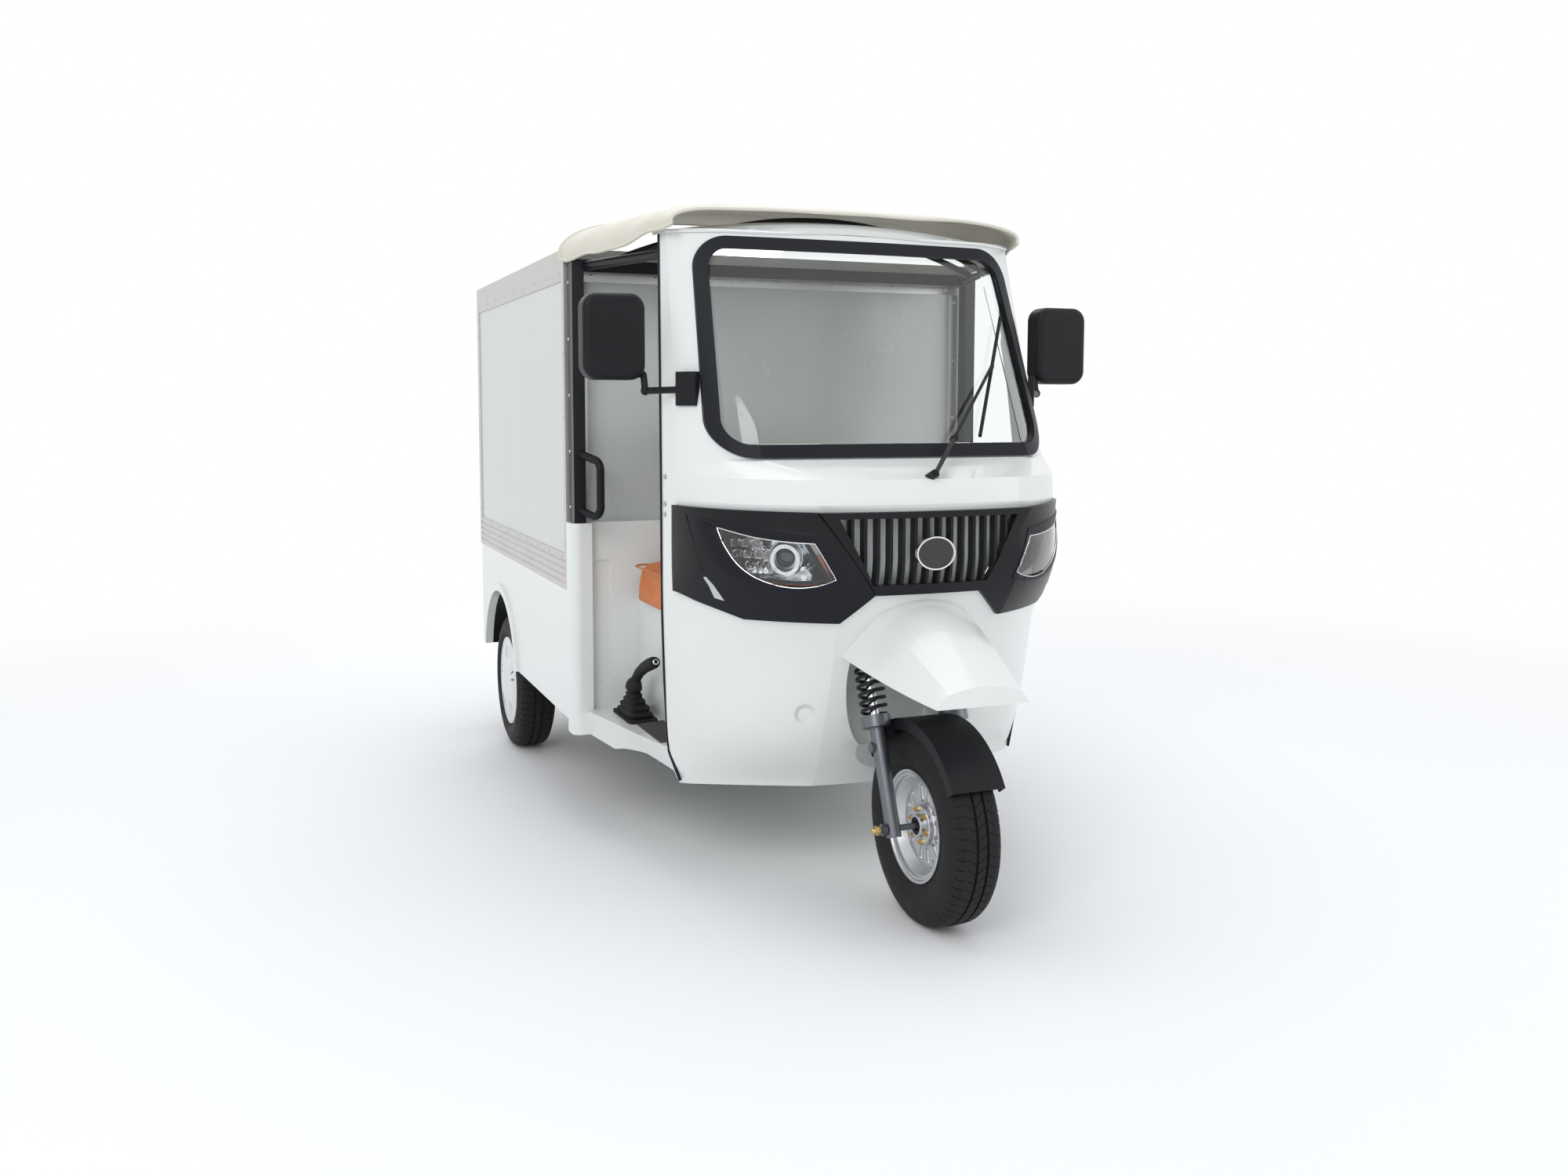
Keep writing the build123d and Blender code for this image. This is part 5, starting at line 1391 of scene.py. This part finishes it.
class MakeFrontTrim(bpy.types.Operator):
    """Add the roof cap and the wall behind the grille"""

    bl_idname = "tricycle.make_front_trim"
    bl_label = "Front trim"

    # Station, height on the centre line, drop at half a metre to each side
    CROWN = ((0.440, 1.750, 0.058), (0.520, 1.810, 0.052), (0.640, 1.828, 0.044))
    LOWEST = 1.777
    BRIM = 0.006
    CAP_END = 0.640
    # Height, half width and foremost station of the wall behind the grille
    WALL = ((1.040, 0.274, 0.043), (0.940, 0.218, 0.048), (0.852, 0.172, 0.066))

    def crown_at(self, x, y):
        """The roof's height, held above the flat top that carries it."""
        pairs = list(zip(self.CROWN, self.CROWN[1:]))
        first, second = pairs[0] if y <= pairs[0][1][0] else pairs[1]
        share = (y - first[0]) / (second[0] - first[0])
        top, drop = (a + share * (b - a) for a, b in zip(first[1:], second[1:]))
        return max(top - drop * (x / 0.5) ** 2, self.LOWEST)

    def cap_outline(self):
        """The plan of the roof's front edge, from its left end to its right one."""
        corner = arc_points((0.385, 0.499), (0.474, 0.530), (0.522, 0.562), 12)
        nose = arc_points((-0.385, 0.499), (0.0, 0.484), (0.385, 0.499), 36)
        half = nose[18:] + corner[1:] + [(0.531, 0.598), (0.534, 0.630)]
        return [(-x, y) for x, y in half[:0:-1]] + half

    def roof_cap(self):
        """The crowned front edge of the roof, with its brim."""
        rows = []
        for x, y in self.cap_outline():
            lean = 0.487 if abs(x) < 0.4 else 0.25
            front = y + lean * (self.crown_at(x, y) - 1.775)
            edge_x = x + math.copysign(self.BRIM, x) * min(abs(x) / 0.5, 1.0)
            lip = front - self.BRIM * (1.0 if abs(x) < 0.5 else 0.3)
            high = self.crown_at(x, front)
            row = [
                station(x, front + 0.012, self.LOWEST - 0.0015), station(edge_x, lip, high - 0.010),
                station(edge_x, lip - 0.002, high - 0.005),
            ]
            for step in range(7):
                back = lip + 0.002 + (self.CAP_END - lip - 0.002) * (step / 6) ** 1.5
                row.append(station(edge_x, back, self.crown_at(x, back)))
            rows.append(row + [station(edge_x, self.CAP_END, self.LOWEST - 0.0015)])
        add_piece("roof_cap", skin(rows), "white", angle=30.0)

    def grille_wall(self):
        """The body's own wall, set back behind the bars."""
        rows = []
        for count in range(25):
            spots = [(half * (count / 12 - 1), nose, height) for height, half, nose in self.WALL]
            row = [station(x, nose + 0.35 * x * x, height) for x, nose, height in spots]
            rows.append(row + [point + Vector((0.0, 0.004, 0.0)) for point in reversed(row)])
        add_piece("grille_wall", skin(rows), "white")

    def execute(self, context):
        self.roof_cap()
        self.grille_wall()
        return {"FINISHED"}


class MakeLever(bpy.types.Operator):
    """Bend the padded hand lever, fold its boot and reach the mat to the door beside it"""

    bl_idname = "tricycle.make_lever"
    bl_label = "Hand lever and mat"

    BOOT_X = -0.531
    # Height over the floor, station, half width, half length and squareness of the boot's rings
    BOOT = (
        (0.0005, 0.876, 0.045, 0.103, 9.0), (0.007, 0.876, 0.045, 0.103, 9.0),
        (0.008, 0.877, 0.036, 0.080, 5.0), (0.017, 0.878, 0.040, 0.085, 5.0),
        (0.026, 0.879, 0.031, 0.070, 4.5), (0.035, 0.880, 0.034, 0.074, 4.0),
        (0.043, 0.883, 0.025, 0.052, 3.5), (0.051, 0.884, 0.027, 0.055, 3.2),
        (0.058, 0.886, 0.019, 0.038, 3.0), (0.066, 0.888, 0.0215, 0.041, 2.8),
        (0.073, 0.889, 0.0165, 0.030, 2.4), (0.079, 0.889, 0.021, 0.038, 2.3),
        (0.086, 0.889, 0.023, 0.041, 2.2), (0.100, 0.886, 0.021, 0.035, 2.1),
        (0.112, 0.878, 0.016, 0.025, 2.0), (0.118, 0.872, 0.010, 0.014, 2.0),
    )
    # x, station, height and radius along the grip
    GRIP = (
        (-0.531, 0.880, 0.478, 0.0140), (-0.530, 0.866, 0.500, 0.0145), (-0.527, 0.838, 0.524, 0.0155),
        (-0.523, 0.800, 0.545, 0.0170), (-0.519, 0.760, 0.561, 0.0185), (-0.516, 0.730, 0.571, 0.0180),
        (-0.515, 0.716, 0.575, 0.0150), (-0.5147, 0.7135, 0.5758, 0.0110),
    )
    BUTTON = ((0.005, -0.001), (0.009, -0.001), (0.009, 0.002), (0.0075, 0.003), (0.005, 0.002))
    TURNS = tuple(FULL_TURN * count / 40 for count in range(40))

    def boot(self, floor):
        """A folded rubber boot on its plate."""
        rings = []
        for height, y, half, reach, squareness in self.BOOT:
            ring = []
            for turn in self.TURNS:
                shares = (math.cos(turn), math.sin(turn))
                across, along = (math.copysign(abs(share) ** (2 / squareness), share) for share in shares)
                ring.append(station(self.BOOT_X + half * across, y + reach * along, floor + height))
            rings.append(ring)
        add_piece("lever_boot_folded", skin(rings), "rubber", stands_for="lever_boot")

    def grip(self):
        """A bent padded lever with a push button at its end."""
        spots = [station(*row[:3]) for row in self.GRIP]
        rings = []
        for before, spot, after, row in zip(spots[:1] + spots, spots, spots[1:] + spots[-1:], self.GRIP):
            way = after - before
            side = way.cross(Vector((1, 0, 0))).normalized()
            other = side.cross(way).normalized()
            ways = [math.cos(turn) * other + math.sin(turn) * side for turn in self.TURNS]
            rings.append([spot + row[3] * out for out in ways])
        add_piece("hand_lever_cranked", skin(rings), "rubber", stands_for="hand_lever")
        button = turned(self.BUTTON, aimed(spots[-1], spots[-1] - spots[-2]), 24)
        add_piece("lever_button", button, "chrome")

    def execute(self, context):
        low, high = corners("floor_mat")
        self.boot(low.z)
        self.grip()
        inner = low.x - 0.001
        plan = ((-0.554, 0.540), (inner, 0.540), (inner, 0.782), (-0.480, 0.782), (-0.556, 0.764))
        outline = [(x, y + CAB_Y) for x, y in plan]
        form = bmesh.new()
        prism(form, outline, Matrix.Translation((0, 0, low.z)), high.z - low.z, 0.001)
        add_piece("floor_mat_corner", form, "mat")
        return {"FINISHED"}


class MakeWheelFittings(bpy.types.Operator):
    """Add the front axle's nuts and the hub's bolts"""

    bl_idname = "tricycle.make_wheel_fittings"
    bl_label = "Wheel fittings"

    # Radius and distance out of the nut's seat
    AXLE_END = ((0.0, 0.0), (0.0075, 0.0), (0.0075, 0.019), (0.006, 0.021), (0.0, 0.021))
    BOLT_END = ((0.0, 0.0), (0.004, 0.0), (0.004, 0.012), (0.0, 0.013))
    BOLTS = 6
    BOLT_CIRCLE = 0.041

    def execute(self, context):
        centre = middle("front_tyre")
        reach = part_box("fork")[1][0]
        nuts = bmesh.new()
        for side in (-1, 1):
            place = aimed((side * (reach - 0.0005), centre.y, centre.z), (side, 0, 0))
            prism(nuts, hexagon(0.022), place, 0.011, bevel=0.0012)
            lathe(nuts, self.AXLE_END, place, 20)
        add_piece("front_axle_nuts", nuts, "brass", "steering")
        bolts = bmesh.new()
        for count in range(self.BOLTS):
            turn = FULL_TURN * count / self.BOLTS + 0.3
            y = centre.y + self.BOLT_CIRCLE * math.sin(turn)
            z = centre.z + self.BOLT_CIRCLE * math.cos(turn)
            for side, face in ((-1, -0.0362), (1, -0.0102)):
                place = aimed((face, y, z), (side, 0, 0))
                prism(bolts, hexagon(0.013), place, 0.007, bevel=0.0008)
                lathe(bolts, self.BOLT_END, place, 14)
        add_piece("front_hub_bolts", bolts, "brass", "front_wheel")
        return {"FINISHED"}


class MakeMirrors(bpy.types.Operator):
    """Set the mirror glasses in their housings"""

    bl_idname = "tricycle.make_mirrors"
    bl_label = "Mirror glasses"

    def execute(self, context):
        form = bmesh.new()
        for side in (-1, 1):
            place = aimed(station(side * 0.684, 0.5462, 1.486), (0, 1, 0))
            prism(form, rounded_outline(0.149, 0.205, 0.032), place, 0.003, bevel=0.001)
        add_piece("mirror_glasses", form, "mirror")
        return {"FINISHED"}


class MakeStage(bpy.types.Operator):
    """Set the floor, the lamps, the world and the camera"""

    bl_idname = "tricycle.make_stage"
    bl_label = "Stage"

    # Name, place, height aimed at, width, share of the key lamp's power
    LAMPS = (
        ("Key", (-4.2, -5.2, 4.6), 0.9, 3.4, 1.0),
        ("Fill", (4.6, -4.4, 3.0), 0.9, 4.0, 0.35),
        ("Top", (0.0, 0.3, 5.4), 0.9, 4.5, 0.6),
        ("Back", (1.0, 5.6, 3.6), 1.0, 3.6, 0.5),
    )
    FLOOR_REACH = 40.0
    FADE = (2.2, 6.0)  # where the floor starts and ends passing into white, from the middle

    def execute(self, context):
        settings = settings_of(context).studio
        self.floor(settings)
        context.scene.world = self.world()
        for name, place, height, width, share in self.LAMPS:
            lamp = bpy.data.lights.new(name, "AREA")
            lamp.shape = "DISK"
            lamp.size = width
            lamp.energy = settings.key * share
            linked(name, lamp).matrix_world = aimed(place, Vector(place) - Vector((0.0, 0.0, height)))
        self.camera(context, settings)
        context.scene.view_settings.view_transform = "Standard"
        return {"FINISHED"}

    def looks_past(self, tree):
        """One where the camera, gloss or glass look, and nought for the light on the object."""
        rays = tree.nodes.new("ShaderNodeLightPath").outputs
        either = worked(tree, "MAXIMUM", rays["Is Camera Ray"], rays["Is Glossy Ray"])
        return worked(tree, "MAXIMUM", either, rays["Is Transmission Ray"])

    def floor(self, settings):
        """A wide pale floor that passes into the white background well away from the object's shadow."""
        mesh = bpy.data.meshes.new("floor")
        reach = self.FLOOR_REACH
        mesh.from_pydata([(x * reach, y * reach, 0) for x, y in ((-1, -1), (1, -1), (1, 1), (-1, 1))], [],
                         [(0, 1, 2, 3)])
        finish = Finish("Floor", settings.floor, 0.9)
        cloudy = finish.use("cloudy", Scale=0.6, Contrast=0.4)
        finish.tint(cloudy["Mask"], tuple(0.98 * value for value in settings.floor), 0.5)
        tree = finish.tree
        away = worked(tree, "LENGTH", finish.place, kind="VectorMath", give="Value")
        ramp = add_node(tree, "MapRange", how={"interpolation_type": "SMOOTHSTEP"}, Value=away,
                        From_Min=self.FADE[0], From_Max=self.FADE[1])
        share = worked(tree, "MULTIPLY", ramp.outputs["Result"], self.looks_past(tree))
        white = add_node(tree, "Emission", Color=(1.0, 1.0, 1.0, 1.0), Strength=1.0)
        mix = add_node(tree, "MixShader", share, finish.shader.outputs[0], white.outputs[0])
        tree.links.new(mix.outputs[0], finish.output.inputs["Surface"])
        mesh.materials.append(finish.material)
        linked("floor", mesh)

    def world(self):
        """Soft even light, and white where the camera, gloss or glass look past the object."""
        world = bpy.data.worlds.new("Studio")
        world.use_nodes = True
        tree = world.node_tree
        tree.nodes.clear()
        soft = add_node(tree, "Background", Color=(0.93, 0.96, 1.0, 1.0), Strength=0.78)
        white = add_node(tree, "Background", Color=(1.0, 1.0, 1.0, 1.0), Strength=1.0)
        mix = add_node(tree, "MixShader", self.looks_past(tree), soft.outputs[0], white.outputs[0])
        add_node(tree, "OutputWorld", mix.outputs[0])
        return world

    def camera(self, context, settings):
        """The camera at the photograph's angle."""
        camera = bpy.data.cameras.new("Camera")
        camera.lens = settings.lens
        camera.sensor_width = 36.0
        camera.shift_y = settings.shift
        turn = Matrix.Rotation(-settings.yaw, 4, "Z") @ Matrix.Rotation(math.pi / 2 + settings.pitch, 4, "X")
        turn = turn @ Matrix.Rotation(settings.roll, 4, "Z")
        holder = linked("Camera", camera)
        holder.matrix_world = Matrix.Translation(settings.place) @ turn
        context.scene.camera = holder


class TricyclePanel(bpy.types.Panel):
    """The tricycle's pieces and settings"""

    bl_idname = "VIEW3D_PT_tricycle"
    bl_label = "Tricycle"
    bl_space_type = "VIEW_3D"
    bl_region_type = "UI"
    bl_category = "Tricycle"

    def draw(self, context):
        layout = self.layout
        settings = settings_of(context)
        for group in (settings.paint, settings.tread, settings.fasteners, settings.soft, settings.studio):
            box = layout.box()
            for name in group.bl_rna.properties.keys():
                if name not in ("rna_type", "name"):
                    box.prop(group, name)
        for operator in OPERATORS:
            layout.operator(operator.bl_idname)


GROUPS = (PaintSettings, TreadSettings, FastenerSettings, SoftSettings, StudioSettings, TricycleSettings)
OPERATORS = (
    FinishSolids, MakeTyres, MakeFrontWheel, MakeCushion, MakeCanopy, MakeRivets, MakeWallTrim, MakeEdging,
    MakeLampDetail, MakeFrontTrim, MakeLever, MakeWheelFittings, MakeMirrors, MakeStage,
)


def register():
    for group in (*GROUPS, *OPERATORS, TricyclePanel):
        bpy.utils.register_class(group)
    bpy.types.Scene.tricycle = bpy.props.PointerProperty(type=TricycleSettings)


def unregister():
    del bpy.types.Scene.tricycle
    for group in reversed((*GROUPS, *OPERATORS, TricyclePanel)):
        bpy.utils.unregister_class(group)


def main():
    register()
    bpy.ops.tricycle.finish_solids()
    bpy.ops.tricycle.make_tyres()
    bpy.ops.tricycle.make_front_wheel()
    bpy.ops.tricycle.make_cushion()
    bpy.ops.tricycle.make_canopy()
    bpy.ops.tricycle.make_rivets()
    bpy.ops.tricycle.make_wall_trim()
    bpy.ops.tricycle.make_edging()
    bpy.ops.tricycle.make_lamp_detail()
    bpy.ops.tricycle.make_front_trim()
    bpy.ops.tricycle.make_lever()
    bpy.ops.tricycle.make_wheel_fittings()
    bpy.ops.tricycle.make_mirrors()
    bpy.ops.tricycle.make_stage()


if __name__ == "__main__":
    main()
